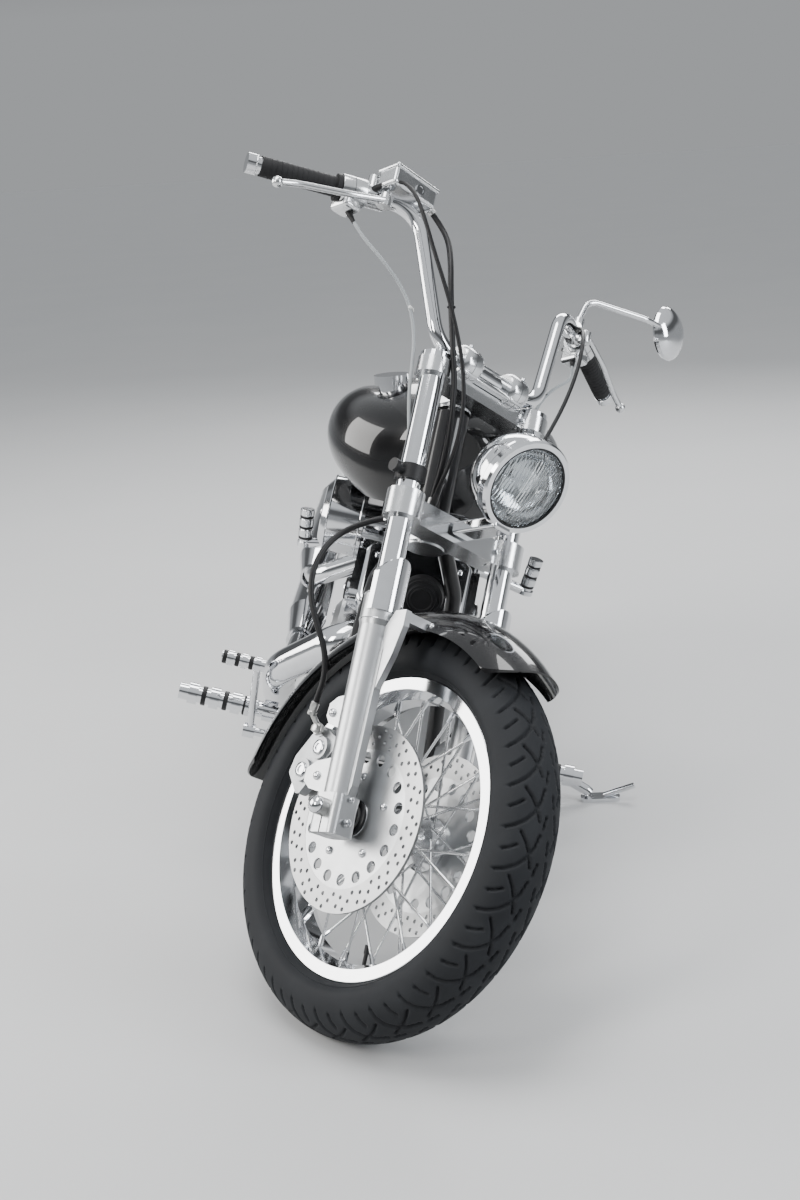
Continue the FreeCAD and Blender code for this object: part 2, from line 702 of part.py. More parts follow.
def up_fork(rows):
    """Points of a route: left, back, and up from the steering head's low end."""
    return [V(x, y, HEAD_Z + z) for x, y, z in rows]


def main_hose():
    """Brake hose from the reservoir down to the lower clamp."""
    return cord("main_hose", [V(-182, 41, RESERVOIR.z - 2)] + up_fork([
        (-156, 32, 492), (-140, 12, 458), (-146, -14, 406), (-144, -26, 354), (-131, -30, 302), (-116, -32, 252),
        (-100, -34, 204), (-90, -32, 158), (-78, -24, 110), (-64, -8, 66), (-58, 6, 26), (-56, 10, -CORD_SEAT),
    ]), HOSE_DIAMETER)


def right_hose():
    """Brake hose that bows out behind the right fork leg to its caliper."""
    low = 156.0
    scale = (LOWER_CLAMP_Z + 23 - low) / 352
    rows = [
        (-86, 42, 352), (-97, 62, 347), (-117, 82, 335), (-156, 94, 304), (-184, 98, 264), (-196, 98, 218),
        (-190, 94, 174), (-172, 84, 134), (-152, 74, 96), (-140, 76, 56), (-136, 88, 24), (-130, 100, 0),
    ]
    return cord("right_hose", [V(x, y, low + z * scale) for x, y, z in rows], HOSE_DIAMETER)


def throttle_cable():
    """Cable from the throttle housing, ahead of the fork, to the lower clamp."""
    return cord("throttle_cable", [along_grip(-(GRIP_INNER_X - 40)) + V(3, -17, 6)] + up_fork([
        (-268, 24, 510), (-252, -10, 486), (-236, -32, 438), (-212, -46, 384), (-180, -56, 332), (-150, -62, 282),
        (-122, -64, 232), (-100, -62, 184), (-84, -54, 138), (-72, -40, 96), (-66, -22, 58), (-64, -8, 26),
        (-63, -2, -CORD_SEAT),
    ]), CABLE_DIAMETER)


def clutch_cable():
    """Cable from the clutch perch, ahead of the fork, to the lower clamp."""
    return cord("clutch_cable", [by_grip(GRIP_INNER_X - 72, -14, -4)] + up_fork([
        (228, 28, 476), (206, 0, 446), (186, -24, 400), (168, -40, 350), (150, -50, 298), (132, -54, 246),
        (114, -52, 194), (98, -44, 144), (86, -30, 96), (80, -14, 52), (78, -5, 24), (77, 0, -CORD_SEAT),
    ]), CABLE_DIAMETER)


def leads(name, side):
    """Switch lead down the bar's upright, behind the fork tube, to the lower clamp."""
    rows = [
        (274, 80, 416), (242, 50, 380), (204, 36, 350), (172, 30, 316), (152, 30, 274), (142, 32, 230), (133, 36, 186),
        (118, 40, 144), (104, 40, 100), (94, 34, 58), (88, 26, 24), (86, 20, -CORD_SEAT),
    ]
    start = by_grip(side * (GRIP_INNER_X - 26), 8, -34)
    return cord(name, [start] + up_fork([(side * x, y, z) for x, y, z in rows]), CABLE_DIAMETER - 1)


def right_leads():
    return leads("right_leads", -1)


def left_leads():
    return leads("left_leads", 1)


# Frame body, in the straight bike's frame.
def stand_frame(x, y, z):
    """A place by the stand's pivot: x toward the cradle tube, z along its hinge."""
    return STAND_PIVOT + STAND_IN * x + STAND_SIDE * y + STAND_AXIS * z


def stand_clevis():
    """Forked bracket on the cradle tube, with the stand's pin."""
    pin = cyl(stand_frame(0, 0, -25), stand_frame(0, 0, 25), 8)
    parts = [pin]
    reach = STAND_PIVOT.x - CRADLE_HALF
    for side in (-1, 1):
        low = stand_frame(0, 0, side * 15)
        high = stand_frame(0, 0, side * 23)
        parts.append(cyl(low, high, 17))
        ear = Part.makeBox(reach - 10, 34, 8, V(0, -17, -4))
        ear.Placement = FreeCAD.Placement(stand_frame(0, 0, side * 19), STAND_TURN)
        parts.append(ear)
    block = Part.makeBox(18, 34, 46, V(0, -17, -23))
    block.Placement = FreeCAD.Placement(stand_frame(25, 0, 0), STAND_TURN)
    parts.append(block)
    parts.append(cyl(stand_frame(30, 0, 0), V(CRADLE_HALF, STAND_PIVOT.y, CRADLE_Z), 12))
    return fuse(parts)


def frame_tubes():
    """Steering head, spine, double cradle, seat rails and the stand's bracket."""
    seat_y = PIVOT_BACK - 18
    head = cyl(HEAD_LOW, HEAD_HIGH, HEAD_TUBE_RADIUS)
    spine = bent_tube([HEAD_MID, HEAD_MID + V(0, 297, -22), V(0, seat_y, SEAT_Z)], 24, 120.0)
    parts = [head, spine]
    rail_x = REAR_FENDER_HALF + STRUT_THICK / 2
    for s in (-1, 1):
        rail = bent_tube([
            HEAD_LOW + (HEAD_HIGH - HEAD_LOW) * 0.2, V(s * 70, -FRAME_AHEAD, HEAD_LOW.z - 140),
            V(s * CRADLE_HALF, -FRAME_AHEAD + 62, CRADLE_Z + 7), V(s * CRADLE_HALF, PIVOT_BACK - 68, CRADLE_Z - 3),
            V(s * 95, PIVOT_BACK + 62, PIVOT_Z + 200), V(s * 80, seat_y, SEAT_Z),
        ], RAIL_RADIUS, 80.0)
        seat = bent_tube([
            V(s * 60, PIVOT_BACK - 58, SEAT_Z + 15), V(s * 90, PIVOT_BACK + 62, SEAT_Z - 40),
            V(s * rail_x, REAR_AXLE.y - 190, SEAT_Z - 6),
        ], 11, 60.0)
        parts += [rail, seat]
    for y in (-FRAME_AHEAD + 202, PIVOT_BACK - 78):
        parts.append(cyl(V(-CRADLE_HALF, y, CRADLE_Z), V(CRADLE_HALF, y, CRADLE_Z), 11))
    parts.append(cyl(V(-70, -FRAME_AHEAD, HEAD_LOW.z - 140), V(70, -FRAME_AHEAD, HEAD_LOW.z - 140), 9))
    parts.append(cyl(V(-80, seat_y, SEAT_Z), V(80, seat_y, SEAT_Z), RAIL_RADIUS))
    parts.append(cyl(V(-95, PIVOT_BACK + 62, PIVOT_Z + 200), V(95, PIVOT_BACK + 62, PIVOT_Z + 200), RAIL_RADIUS))
    bore = cyl(HEAD_LOW - AXIS_DIR * 60, HEAD_HIGH + AXIS_DIR * 60, STEM_RADIUS + 1.2)
    return fuse(parts + [stand_clevis()]).cut(bore)


def engine_cases():
    """Crankcase with clutch cover, primary, generator and gear covers."""
    core = prism_x([
        (-215, 215), (-196, 184), (206, 184), (228, 250), (222, 400), (120, 428), (-160, 420), (-225, 330),
    ], -CASE_HALF, CASE_HALF, 16)
    covers = []
    for side, y, z, radius, reach in (
        (-1, 70, 305, 104, 56), (-1, -86, 298, 84, 46), (1, -62, 300, 92, 48), (1, 112, 302, 84, 34),
    ):
        near = side * (CASE_HALF - 8)
        far = side * (CASE_HALF + reach)
        skirt = cyl(V(near, y, z), V(far - side * 12, y, z), radius)
        crown = cone(V(far - side * 12, y, z), V(far, y, z), radius, radius - 18)
        covers += [skirt, crown]
    return fuse([core] + covers)


def cylinder_unit(tilt):
    """Finned barrel and head along the given tilt from the crank."""
    parts = [Part.makeCylinder(BARREL_RADIUS, 200, V(0, 0, 100))]
    for i in range(FINS):
        z = FIRST_FIN + i * FIN_PITCH
        grow = 1 - 0.012 * (FINS - 1 - i)
        parts.append(plate(V(0, 0, z), 2 * FIN_HALF_WIDTH * grow, 2 * FIN_HALF_DEPTH * grow, FIN_THICK, 34))
    head_z = FIRST_FIN + FINS * FIN_PITCH
    parts.append(plate(V(0, 0, head_z + 24), 2 * FIN_HALF_WIDTH - 24, 2 * FIN_HALF_DEPTH - 12, 44, 22))
    shape = fuse(parts)
    shape.rotate(V(0, 0, 0), V(1, 0, 0), tilt)
    shape.translate(CRANK)
    return shape


def cylinder_cover(tilt):
    """Rounded chrome cover astride the head, a cheek with its bolt boss each side."""
    head_z = FIRST_FIN + FINS * FIN_PITCH
    crown = plate(V(0, 0, head_z + 66), 2 * HEAD_HALF_WIDTH - 40, 150, 46, 26)
    crown = crown.makeFillet(12, [e for e in crown.Edges if min(v.Z for v in e.Vertexes) > head_z + 80])
    cheek = prism_x([
        (-62, head_z - 26), (62, head_z - 26), (70, head_z + 40), (58, head_z + 84), (-58, head_z + 84), (-70, head_z + 40),
    ], HEAD_HALF_WIDTH - 34, HEAD_HALF_WIDTH - 6, 18)
    boss = cyl(V(HEAD_HALF_WIDTH - 8, 0, head_z + 22), V(HEAD_HALF_WIDTH, 0, head_z + 22), 24)
    half = fuse([cheek, boss])
    shape = fuse([crown, half, mirrored(half)])
    shape.rotate(V(0, 0, 0), V(1, 0, 0), tilt)
    shape.translate(CRANK)
    return shape


def cylinders():
    return Part.makeCompound([cylinder_unit(VEE_HALF), cylinder_unit(-VEE_HALF)])


def head_covers():
    return Part.makeCompound([cylinder_cover(VEE_HALF), cylinder_cover(-VEE_HALF)])


def carburettors():
    return box(CRANK + V(0, 0, 256), 110, 226, 92, 14)


def air_cleaner():
    """Round can with a domed face on the right, and its neck."""
    at = CRANK + V(0, -24, 316)
    neck = cyl(at + V(-20, 0, 0), at + V(-122, 0, 0), 34)
    can = cyl(at + V(-118, 0, 0), at + V(-186, 0, 0), 74)
    face = cone(at + V(-186, 0, 0), at + V(-200, 0, 0), 74, 56)
    return fuse([can, face, neck])


def muffler(start, end, r_in, r_body, taper):
    """Silencer that widens from the pipe and ends in an open mouth."""
    way = (end - start).normalize()
    neck = start + way * taper
    body = fuse([cone(start, neck, r_in, r_body), cyl(neck, end, r_body)])
    return body.cut(cyl(end - way * 60, end + way * 5, r_body - 9))


def front_exhaust():
    front = -FRAME_AHEAD
    pipe = bent_tube([
        V(-36, front + 112, 462), V(-104, front + 40, 468), V(-214, front + 132, 350), V(-214, front + 300, 240),
        V(-212, PIVOT_BACK + 32, 236),
    ], PIPE_RADIUS, 110.0)
    start = V(-212, PIVOT_BACK + 12, 236)
    return fuse([pipe, muffler(start, start + V(-12, 730, 26), PIPE_RADIUS + 5, 44, 150)])


def rear_exhaust():
    pipe = bent_tube([
        V(-36, PIVOT_BACK - 82, 496), V(-72, PIVOT_BACK - 6, 470), V(-205, PIVOT_BACK + 34, 380),
        V(-222, PIVOT_BACK + 152, 346),
    ], PIPE_RADIUS - 2, 60.0)
    start = V(-220, PIVOT_BACK + 137, 348)
    return fuse([pipe, muffler(start, start + V(-12, 695, 20), PIPE_RADIUS + 3, 42, 130)])


HORN_AT = HEAD_LOW + V(14, 22, -136)


def horn():
    """Round horn with a stepped face, on the downtubes' cross bar."""
    drum = turned([(0, 0), (0, 24), (8, 26), (10, 36), (26, 38), (40, 30), (48, 30), (48, 0)])
    drum.rotate(V(0, 0, 0), V(0, 0, 1), 90)
    drum.translate(HORN_AT + V(0, -28, 0))
    stem = cyl(HORN_AT + V(0, 16, 0), V(HORN_AT.x, -FRAME_AHEAD, HEAD_LOW.z - 140), 9)
    return fuse([drum, stem])


# Tank sections, from the middle of the steering head:
# back, half width, shoulder half, bottom half, then heights of bottom, widest, shoulder, crown.
TANK_ROWS = [
    (84, 78, 50, 56, -92, -24, 46, 60),
    (122, 142, 96, 106, -106, -34, 60, 84),
    (220, 206, 138, 146, -110, -42, 68, 106),
    (350, 216, 140, 156, -106, -48, 58, 102),
    (500, 174, 98, 124, -98, -58, 16, 54),
    (600, 112, 58, 80, -106, -78, -32, -8),
    (652, 64, 36, 46, -116, -98, -72, -58),
]


def fuel_tank():
    return lofted(TANK_ROWS, V(0, HEAD_MID.y, HEAD_MID.z))


def fuel_cap():
    """Round cap on the right of the tank's top."""
    at = HEAD_MID + V(-118, 224, 84)
    lean = V(-0.3, 0.02, 1).normalize()
    neck = cyl(at - lean * 24, at + lean * 8, 24)
    lid = cyl(at + lean * 4, at + lean * 20, 32)
    return fuse([neck, lid])


def tank_console():
    """Low strip with a round dial along the tank's crown."""
    at = HEAD_MID
    strip = prism_x([(218, 80), (236, 118), (470, 90), (560, 34), (556, 6), (450, 40)], -32, 32)
    strip.translate(V(0, at.y, at.z))
    dial = cyl(at + V(0, 304, 80), at + V(0, 316, 132), 46)
    return fuse([strip, dial])


# Seat sections: back from the swingarm pivot or the rear axle, then as for the tank,
# with heights from the seat line or the rear fender's crown.
RIDER_ROWS = [
    (-72, 60, 40, 50, 68, 90, 112, 122),
    (-8, 110, 74, 92, 24, 50, 74, 84),
    (92, 158, 118, 130, -12, 16, 44, 52),
    (202, 170, 130, 136, -12, 20, 58, 68),
    (272, 150, 116, 118, 0, 50, 106, 122),
]
PASSENGER_ROWS = [
    (-264, 118, 92, 100, 20, 42, 64, 76),
    (-180, 132, 104, 108, 12, 36, 64, 76),
    (-60, 124, 96, 100, 6, 28, 52, 62),
    (0, 90, 64, 76, 2, 16, 32, 38),
]


def rider_seat():
    return lofted(RIDER_ROWS, V(0, PIVOT_BACK, SEAT_Z))


def passenger_seat():
    return lofted(PASSENGER_ROWS, V(0, REAR_AXLE.y, REAR_AXLE.z + REAR_FENDER_CROWN))


def rear_fender():
    shape = arched_fender(REAR_FENDER_HALF, REAR_TYRE_RADIUS - 4.5, REAR_FENDER_CROWN, 68, 98, 70)
    shape.translate(REAR_AXLE)
    return shape


# Strut holes for a carrier: back from the rear axle and up from the seat line.
STRUT_HOLES = [(-96, 2), (24, 14)]
STRUT_FACE_X = REAR_FENDER_HALF + STRUT_THICK


def fender_struts():
    """Flat polished struts outside the fender, each with two carrier holes."""
    y = REAR_AXLE.y
    z = SEAT_Z
    outline = [(-196, -26), (-170, -32), (60, -12), (200, -76), (226, -66), (214, -48), (70, 34), (40, 38), (-190, 12)]
    shape = prism_x([(y + a, z + b) for a, b in outline], REAR_FENDER_HALF, STRUT_FACE_X, 5)
    for a, b in STRUT_HOLES:
        hole = cyl(V(REAR_FENDER_HALF - 4, y + a, z + b), V(STRUT_FACE_X + 4, y + a, z + b), STRUT_HOLE_RADIUS)
        shape = shape.cut(hole)
    return both(shape)


def swingarm():
    """Pivot tube, right arm and the drive shaft's housing on the left."""
    arm_x = REAR_TYRE_HALF + 33
    parts = [cyl(V(-95, PIVOT_BACK, PIVOT_Z), V(95, PIVOT_BACK, PIVOT_Z), 26)]
    parts.append(bent_tube([
        V(-80, PIVOT_BACK, PIVOT_Z), V(-arm_x, PIVOT_BACK + 152, PIVOT_Z), V(-arm_x, REAR_AXLE.y + 30, REAR_AXLE.z),
    ], 20, 90.0))
    parts.append(bent_tube([
        V(80, PIVOT_BACK, PIVOT_Z), V(arm_x + 4, PIVOT_BACK + 152, PIVOT_Z), V(arm_x + 4, REAR_AXLE.y - 60, REAR_AXLE.z - 2),
    ], 26, 90.0))
    return fuse(parts)


def final_drive():
    """Bevel gear housing on the wheel's left."""
    near = REAR_AXLE + V(REAR_TYRE_HALF + 1, 0, 0)
    body = cyl(near, near + V(44, 0, 0), 84)
    face = cone(near + V(44, 0, 0), near + V(56, 0, 0), 84, 66)
    neck = cone(REAR_AXLE + V(REAR_TYRE_HALF + 37, -120, -4), REAR_AXLE + V(REAR_TYRE_HALF + 37, -30, -2), 30, 44)
    return fuse([body, face, neck])


def rear_axle():
    shaft = cyl(REAR_AXLE + V(-140, 0, 0), REAR_AXLE + V(REAR_TYRE_HALF + 1, 0, 0), AXLE_RADIUS)
    nut = cyl(REAR_AXLE + V(-148, 0, 0), REAR_AXLE + V(-136, 0, 0), 16)
    spacer = cyl(REAR_AXLE + V(-98, 0, 0), REAR_AXLE + V(-81.5, 0, 0), 20)
    return fuse([shaft, nut, spacer])


def rear_caliper():
    shape = caliper(REAR_DISC_X, -1, REAR_DISC_RADIUS, 138)
    arm = prism_x([(-96, 36), (-40, 60), (30, 26), (10, -16), (-96, 4)], REAR_DISC_X - 30, REAR_DISC_X - 22)
    shape = fuse([shape, arm])
    shape.translate(REAR_AXLE)
    return shape


def side_covers():
    """Triangular covers under the seat."""
    y = PIVOT_BACK
    cover = prism_x([
        (y - 33, 470), (y + 132, 480), (y + 158, SEAT_Z - 26), (y + 62, SEAT_Z + 2), (y - 38, SEAT_Z - 68),
    ], 96, 126, 20)
    return both(cover)


def fender_point(angle, radius):
    """A place round the rear axle, its angle back from straight up."""
    a = math.radians(angle)
    return REAR_AXLE + V(0, radius * math.sin(a), radius * math.cos(a))


def tail_lamp():
    """Oval lamp on the fender's back."""
    lamp = box(V(0, 0, REAR_FENDER_CROWN + 14), 92, 62, 52, 12)
    lamp.rotate(V(0, 0, 0), V(1, 0, 0), -48)
    lamp.translate(REAR_AXLE)
    return lamp


def plate_holder():
    """Bracket on the fender with its blank plate."""
    foot = fender_point(66, REAR_FENDER_CROWN)
    back = foot.y + 34
    arm = box(V(0, (foot.y - 14 + back) / 2, foot.z + 6), 50, back - foot.y + 14, 70)
    blank = plate(V(0, 0, 0), 190, 150, 3, 10)
    blank.rotate(V(0, 0, 0), V(1, 0, 0), 90)
    blank.translate(V(0, back + 1.5, foot.z - 30))
    return fuse([arm, blank])


def rear_indicators():
    foot = fender_point(66, REAR_FENDER_CROWN)
    y = foot.y + 14
    z = foot.z + 16
    stalk = cyl(V(24, y, z), V(112, y, z), 8)
    lamp = cyl(V(124, y - 26, z), V(124, y + 24, z), 28)
    return both(fuse([stalk, lamp]))


# Rider's controls on the cradle.
PEG = V(205, -200, 240)


def ribbed_bar(p, q, radius, rings):
    """Round bar with wider rings, from a table of place along it, width and radius."""
    way = (q - p).normalize()
    parts = [cyl(p, q, radius)]
    for at, width, ring_radius in rings:
        parts.append(cyl(p + way * at, p + way * (at + width), ring_radius))
    return fuse(parts)


def footpegs():
    """Rider's pegs, turned with wide bands, and the passenger's pegs, folded up."""
    end = PEG + V(190, -8, 6)
    rings = [(0, 26, 21), (52, 9, 19.5), (70, 18, 20.5), (112, 18, 20.5), (154, 18, 20.5)]
    peg = ribbed_bar(PEG, end, 15.5, rings)
    post = cyl(V(CRADLE_HALF - 5, PEG.y + 4, CRADLE_Z + 6), PEG + V(4, 0, 0), 13)
    rider = fuse([peg, post])
    at = V(250, PIVOT_BACK + 112, PIVOT_Z + 120)
    rear_peg = ribbed_bar(at, at + V(8, -6, 84), 13, [(0, 10, 17), (24, 14, 16), (48, 14, 16), (72, 12, 16)])
    arm = cyl(V(95, PIVOT_BACK + 62, PIVOT_Z + 170), at + V(0, 0, 6), 11)
    rear = fuse([rear_peg, arm])
    return Part.makeCompound([rider, mirrored(rider), rear, mirrored(rear)])


PEDAL_PIN = V(0, -244, 210)


def brake_pedal():
    """Pad with three bands on a bent arm, outside the exhaust."""
    pad = ribbed_bar(V(-238, -286, 358), V(-320, -288, 361), 11, [(8, 10, 14.5), (34, 10, 14.5), (60, 10, 14.5)])
    arm = bent_tube([V(-252, -286, 358), V(-250, -262, 290), V(-246, -244, 214)], 7, 200.0)
    pin = cyl(PEDAL_PIN + V(-92, 0, 0), PEDAL_PIN + V(-258, 0, 0), 8)
    eye = cyl(PEDAL_PIN + V(-236, 0, 0), PEDAL_PIN + V(-258, 0, 0), 14)
    return fuse([pad, arm, pin, eye])


def shift_pedal():
    pad = ribbed_bar(V(188, -300, 330), V(268, -302, 332), 10, [(12, 10, 13.5), (38, 10, 13.5), (64, 10, 13.5)])
    arm = bent_tube([V(200, -300, 330), V(201, -276, 272), V(192, -244, 214)], 7, 120.0)
    pin = cyl(PEDAL_PIN + V(92, 0, 0), PEDAL_PIN + V(200, 0, 0), 8)
    return fuse([pad, arm, pin])


def foot_pedals():
    return Part.makeCompound([brake_pedal(), shift_pedal()])


# The parked pose.
def tyre_low(axle, normal, mid_radius, crown):
    """Lowest height of a round-crowned tyre."""
    return axle.z - mid_radius * math.sqrt(max(0.0, 1 - normal.z ** 2)) - crown


STEERED = FreeCAD.Placement(V(0, 0, 0), FreeCAD.Rotation(AXIS_DIR, STEER), AXIS_POINT)


def parked_placement():
    """Lean and pitch that set both tyres on the floor."""
    front = STEERED.multVec(FRONT_AXLE)
    front_normal = STEERED.Rotation.multVec(V(1, 0, 0))
    lean = FreeCAD.Rotation(V(0, 1, 0), LEAN)
    pitch = 0.0
    for _ in range(30):
        turn = FreeCAD.Rotation(V(1, 0, 0), pitch).multiply(lean)
        low_front = tyre_low(turn.multVec(front), turn.multVec(front_normal),
                             FRONT_TYRE_RADIUS - FRONT_TYRE_HALF, FRONT_TYRE_HALF)
        low_rear = tyre_low(turn.multVec(REAR_AXLE), turn.multVec(V(1, 0, 0)),
                            REAR_TYRE_RADIUS - REAR_TYRE_HALF, REAR_TYRE_HALF)
        pitch -= math.degrees((low_rear - low_front) / (REAR_AXLE.y - FRONT_AXLE.y))
    return FreeCAD.Placement(V(0, 0, -low_rear), turn)


PARKED = parked_placement()


def stand_foot():
    """The leg's end, just above its pad on the floor, in the parked frame."""
    ground = PARKED.multVec(V(STAND_FOOT_X, STAND_FOOT_Y, 0))
    return V(ground.x, ground.y, STAND_RADIUS + 4)


def stand_axis():
    """Hinge axis square to the leg both down and folded, and the angle between."""
    leg = PARKED.Rotation.inverted().multVec(stand_foot() - PARKED.multVec(STAND_PIVOT)).normalize()
    return leg.cross(STAND_FOLDED).normalize(), math.degrees(leg.getAngle(STAND_FOLDED))


STAND_AXIS, STAND_SWING = stand_axis()
TO_CRADLE = V(CRADLE_HALF, STAND_PIVOT.y, CRADLE_Z) - STAND_PIVOT
STAND_IN = (TO_CRADLE - STAND_AXIS * TO_CRADLE.dot(STAND_AXIS)).normalize()
STAND_SIDE = STAND_AXIS.cross(STAND_IN)
STAND_TURN = FreeCAD.Rotation(STAND_IN, STAND_SIDE, STAND_AXIS, "ZXY")


def side_stand():
    """Leg with its eye, pad and tang, built against the floor in the parked frame."""
    pivot = PARKED.multVec(STAND_PIVOT)
    foot = stand_foot()
    run = foot - pivot
    bow = pivot + run * 0.55 + V(0, 0, 14)
    leg = bent_tube([pivot + run.normalize() * 6, bow, foot - run.normalize() * 6 + V(0, 0, 3), foot], STAND_RADIUS, 160.0)
    pad = plate(V(foot.x + 22, foot.y, 4), 80, 36, 8, 15)
    tang = cyl(V(foot.x + 30, foot.y, 9), V(foot.x + 92, foot.y - 4, 30), 6)
    down = PARKED.Rotation.multVec(STAND_AXIS)
    eye = cyl(pivot - down * 14.5, pivot + down * 14.5, 18)
    bore = cyl(pivot - down * 40, pivot + down * 40, 8.6)
    return fuse([leg, pad, tang, eye]).cut(bore)


# Nodes by body; each node is cut by those before it on its body, so that it seats on them.
BODY_NODES = {
    "frame": [
        ("frame_tubes", frame_tubes), ("engine_cases", engine_cases), ("head_covers", head_covers),
        ("cylinders", cylinders), ("carburettors", carburettors), ("air_cleaner", air_cleaner),
        ("front_exhaust", front_exhaust), ("rear_exhaust", rear_exhaust), ("horn", horn),
        ("fuel_tank", fuel_tank), ("fuel_cap", fuel_cap), ("tank_console", tank_console),
        ("rider_seat", rider_seat), ("rear_fender", rear_fender), ("passenger_seat", passenger_seat),
        ("fender_struts", fender_struts), ("rear_axle", rear_axle), ("swingarm", swingarm),
        ("final_drive", final_drive), ("rear_caliper", rear_caliper), ("side_covers", side_covers),
        ("tail_lamp", tail_lamp), ("rear_indicators", rear_indicators), ("plate_holder", plate_holder),
        ("footpegs", footpegs), ("foot_pedals", foot_pedals),
    ],
    "steering": [
        ("fork_tubes", fork_tubes), ("lower_clamp", lower_clamp), ("upper_clamp", upper_clamp),
        ("fork_sliders", fork_sliders), ("tube_guards", tube_guards), ("tube_band", tube_band),
        ("handlebar", handlebar), ("risers", risers), ("grips", grips),
        ("right_controls", right_controls), ("left_controls", left_controls), ("levers", levers),
        ("mirror", mirror), ("headlamp", headlamp), ("headlamp_lens", headlamp_lens),
        ("front_fender", front_fender), ("front_calipers", front_calipers), ("front_axle", front_axle),
        ("main_hose", main_hose), ("right_hose", right_hose), ("throttle_cable", throttle_cable),
        ("clutch_cable", clutch_cable), ("right_leads", right_leads), ("left_leads", left_leads),
    ],
    "front_wheel": [
        ("front_tyre", front_tyre), ("front_rim", front_rim), ("front_hub", front_hub),
        ("front_discs", front_discs),
    ],
    "rear_wheel": [
        ("rear_tyre", rear_tyre), ("rear_rim", rear_rim), ("rear_hub", rear_hub), ("rear_disc", rear_disc),
    ],
}

# How many separate solids a node of like pieces has.
SOLIDS = {
    "cylinders": 2, "head_covers": 2, "fender_struts": 2, "side_covers": 2, "rear_indicators": 2, "footpegs": 4,
    "foot_pedals": 2, "fork_tubes": 2, "fork_sliders": 2, "tube_guards": 2, "grips": 2,
    "levers": 2, "front_calipers": 2, "front_discs": 2,
}


def tidy(shape, count):
    """The node's own solids, without slivers left by a cut."""
    solids = sorted(shape.Solids, key=lambda s: -s.Volume)[:count]
    return solids[0] if count == 1 else Part.makeCompound(solids)


def build_body(rows):
    """Nodes of a body, each cut by the ones before it."""
    done = []
    for name, make in rows:
        shape = make()
        for _, other in done:
            if shape.BoundBox.intersect(other.BoundBox):
                shape = shape.cut(other)
        done.append((name, tidy(shape, SOLIDS.get(name, 1))))
    return done


BODY_PLACES = {
    "frame": FreeCAD.Placement(),
    "steering": STEERED.multiply(FORK),
    "front_wheel": STEERED.multiply(FORK),
    "rear_wheel": FreeCAD.Placement(REAR_AXLE, FreeCAD.Rotation()),
}


def park():
    """Every node, steered, leaned and set down."""
    placed = []
    for body, rows in BODY_NODES.items():
        place = PARKED.multiply(BODY_PLACES[body])
        for name, shape in build_body(rows):
            out = shape.copy()
            out.Placement = place.multiply(out.Placement)
            placed.append((body, name, out))
    placed.append(("side_stand", "side_stand", side_stand()))
    return placed


def report(tag, vector, digits):
    print(tag, [round(v, digits) for v in vector])


def main():
    placed = park()
    bounds = FreeCAD.BoundBox()
    for _, _, shape in placed:
        bounds.add(shape.optimalBoundingBox(True, False))
    move = FreeCAD.Placement(V(-bounds.Center.x, -bounds.Center.y, 0), FreeCAD.Rotation())
    for body, name, shape in placed:
        out = shape.copy()
        out.Placement = move.multiply(out.Placement)
        out.exportStep(os.path.join("parts", name + ".step"))
        print(body, name, "solids", len(out.Solids), "valid", out.isValid(), "litres", round(out.Volume / 1e6, 3))
    final = move.multiply(PARKED)
    fork = final.multiply(STEERED).multiply(FORK)
    print("bounds", bounds.XLength, bounds.YLength, bounds.ZLength, "low", bounds.ZMin)
    report("move", move.Base, 4)
    report("front_axle", fork.multVec(V(0, 0, 0)), 4)
    report("rear_axle", final.multVec(REAR_AXLE), 4)
    report("steer_point", final.multVec(AXIS_POINT), 4)
    report("stand_pivot", final.multVec(STAND_PIVOT), 4)
    report("mirror_boss", fork.multVec(MIRROR_BOSS), 4)
    report("front_axle_dir", fork.Rotation.multVec(V(1, 0, 0)), 6)
    report("rear_axle_dir", final.Rotation.multVec(V(1, 0, 0)), 6)
    report("steer_dir", final.Rotation.multVec(AXIS_DIR), 6)
    report("stand_dir", final.Rotation.multVec(STAND_AXIS), 6)
    for i, (back, up) in enumerate(STRUT_HOLES):
        for tag, side in (("left", 1), ("right", -1)):
            spot = V(side * STRUT_FACE_X, REAR_AXLE.y + back, SEAT_Z + up)
            report("strut_%s_%d" % (tag, i + 1), final.multVec(spot), 4)
    report("fork_dir", fork.Rotation.multVec(V(0, 0, 1)), 6)
    print("stand_swing", round(STAND_SWING, 3))
    print("steer_lock", STEER)


main()
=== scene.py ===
"""Looks, light and camera for the cruiser motorcycle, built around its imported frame."""

import json
import logging
import math
from dataclasses import dataclass
from enum import Enum

import bmesh
import bpy
from mathutils import Matrix, Vector
from mathutils.bvhtree import BVHTree


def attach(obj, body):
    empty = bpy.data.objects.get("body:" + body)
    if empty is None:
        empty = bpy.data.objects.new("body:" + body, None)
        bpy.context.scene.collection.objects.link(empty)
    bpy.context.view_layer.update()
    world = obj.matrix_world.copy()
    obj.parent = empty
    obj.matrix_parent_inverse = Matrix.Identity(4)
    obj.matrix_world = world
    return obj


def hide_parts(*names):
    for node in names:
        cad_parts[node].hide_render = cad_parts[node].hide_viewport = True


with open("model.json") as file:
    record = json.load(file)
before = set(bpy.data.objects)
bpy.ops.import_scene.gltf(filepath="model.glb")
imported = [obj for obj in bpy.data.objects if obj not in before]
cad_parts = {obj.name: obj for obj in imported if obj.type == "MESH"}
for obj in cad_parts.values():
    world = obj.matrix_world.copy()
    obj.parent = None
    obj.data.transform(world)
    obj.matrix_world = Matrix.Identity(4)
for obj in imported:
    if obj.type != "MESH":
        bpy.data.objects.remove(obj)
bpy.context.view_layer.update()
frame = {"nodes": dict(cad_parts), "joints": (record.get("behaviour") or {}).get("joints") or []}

LOG = logging.getLogger("motorcycle")
MM = 0.001


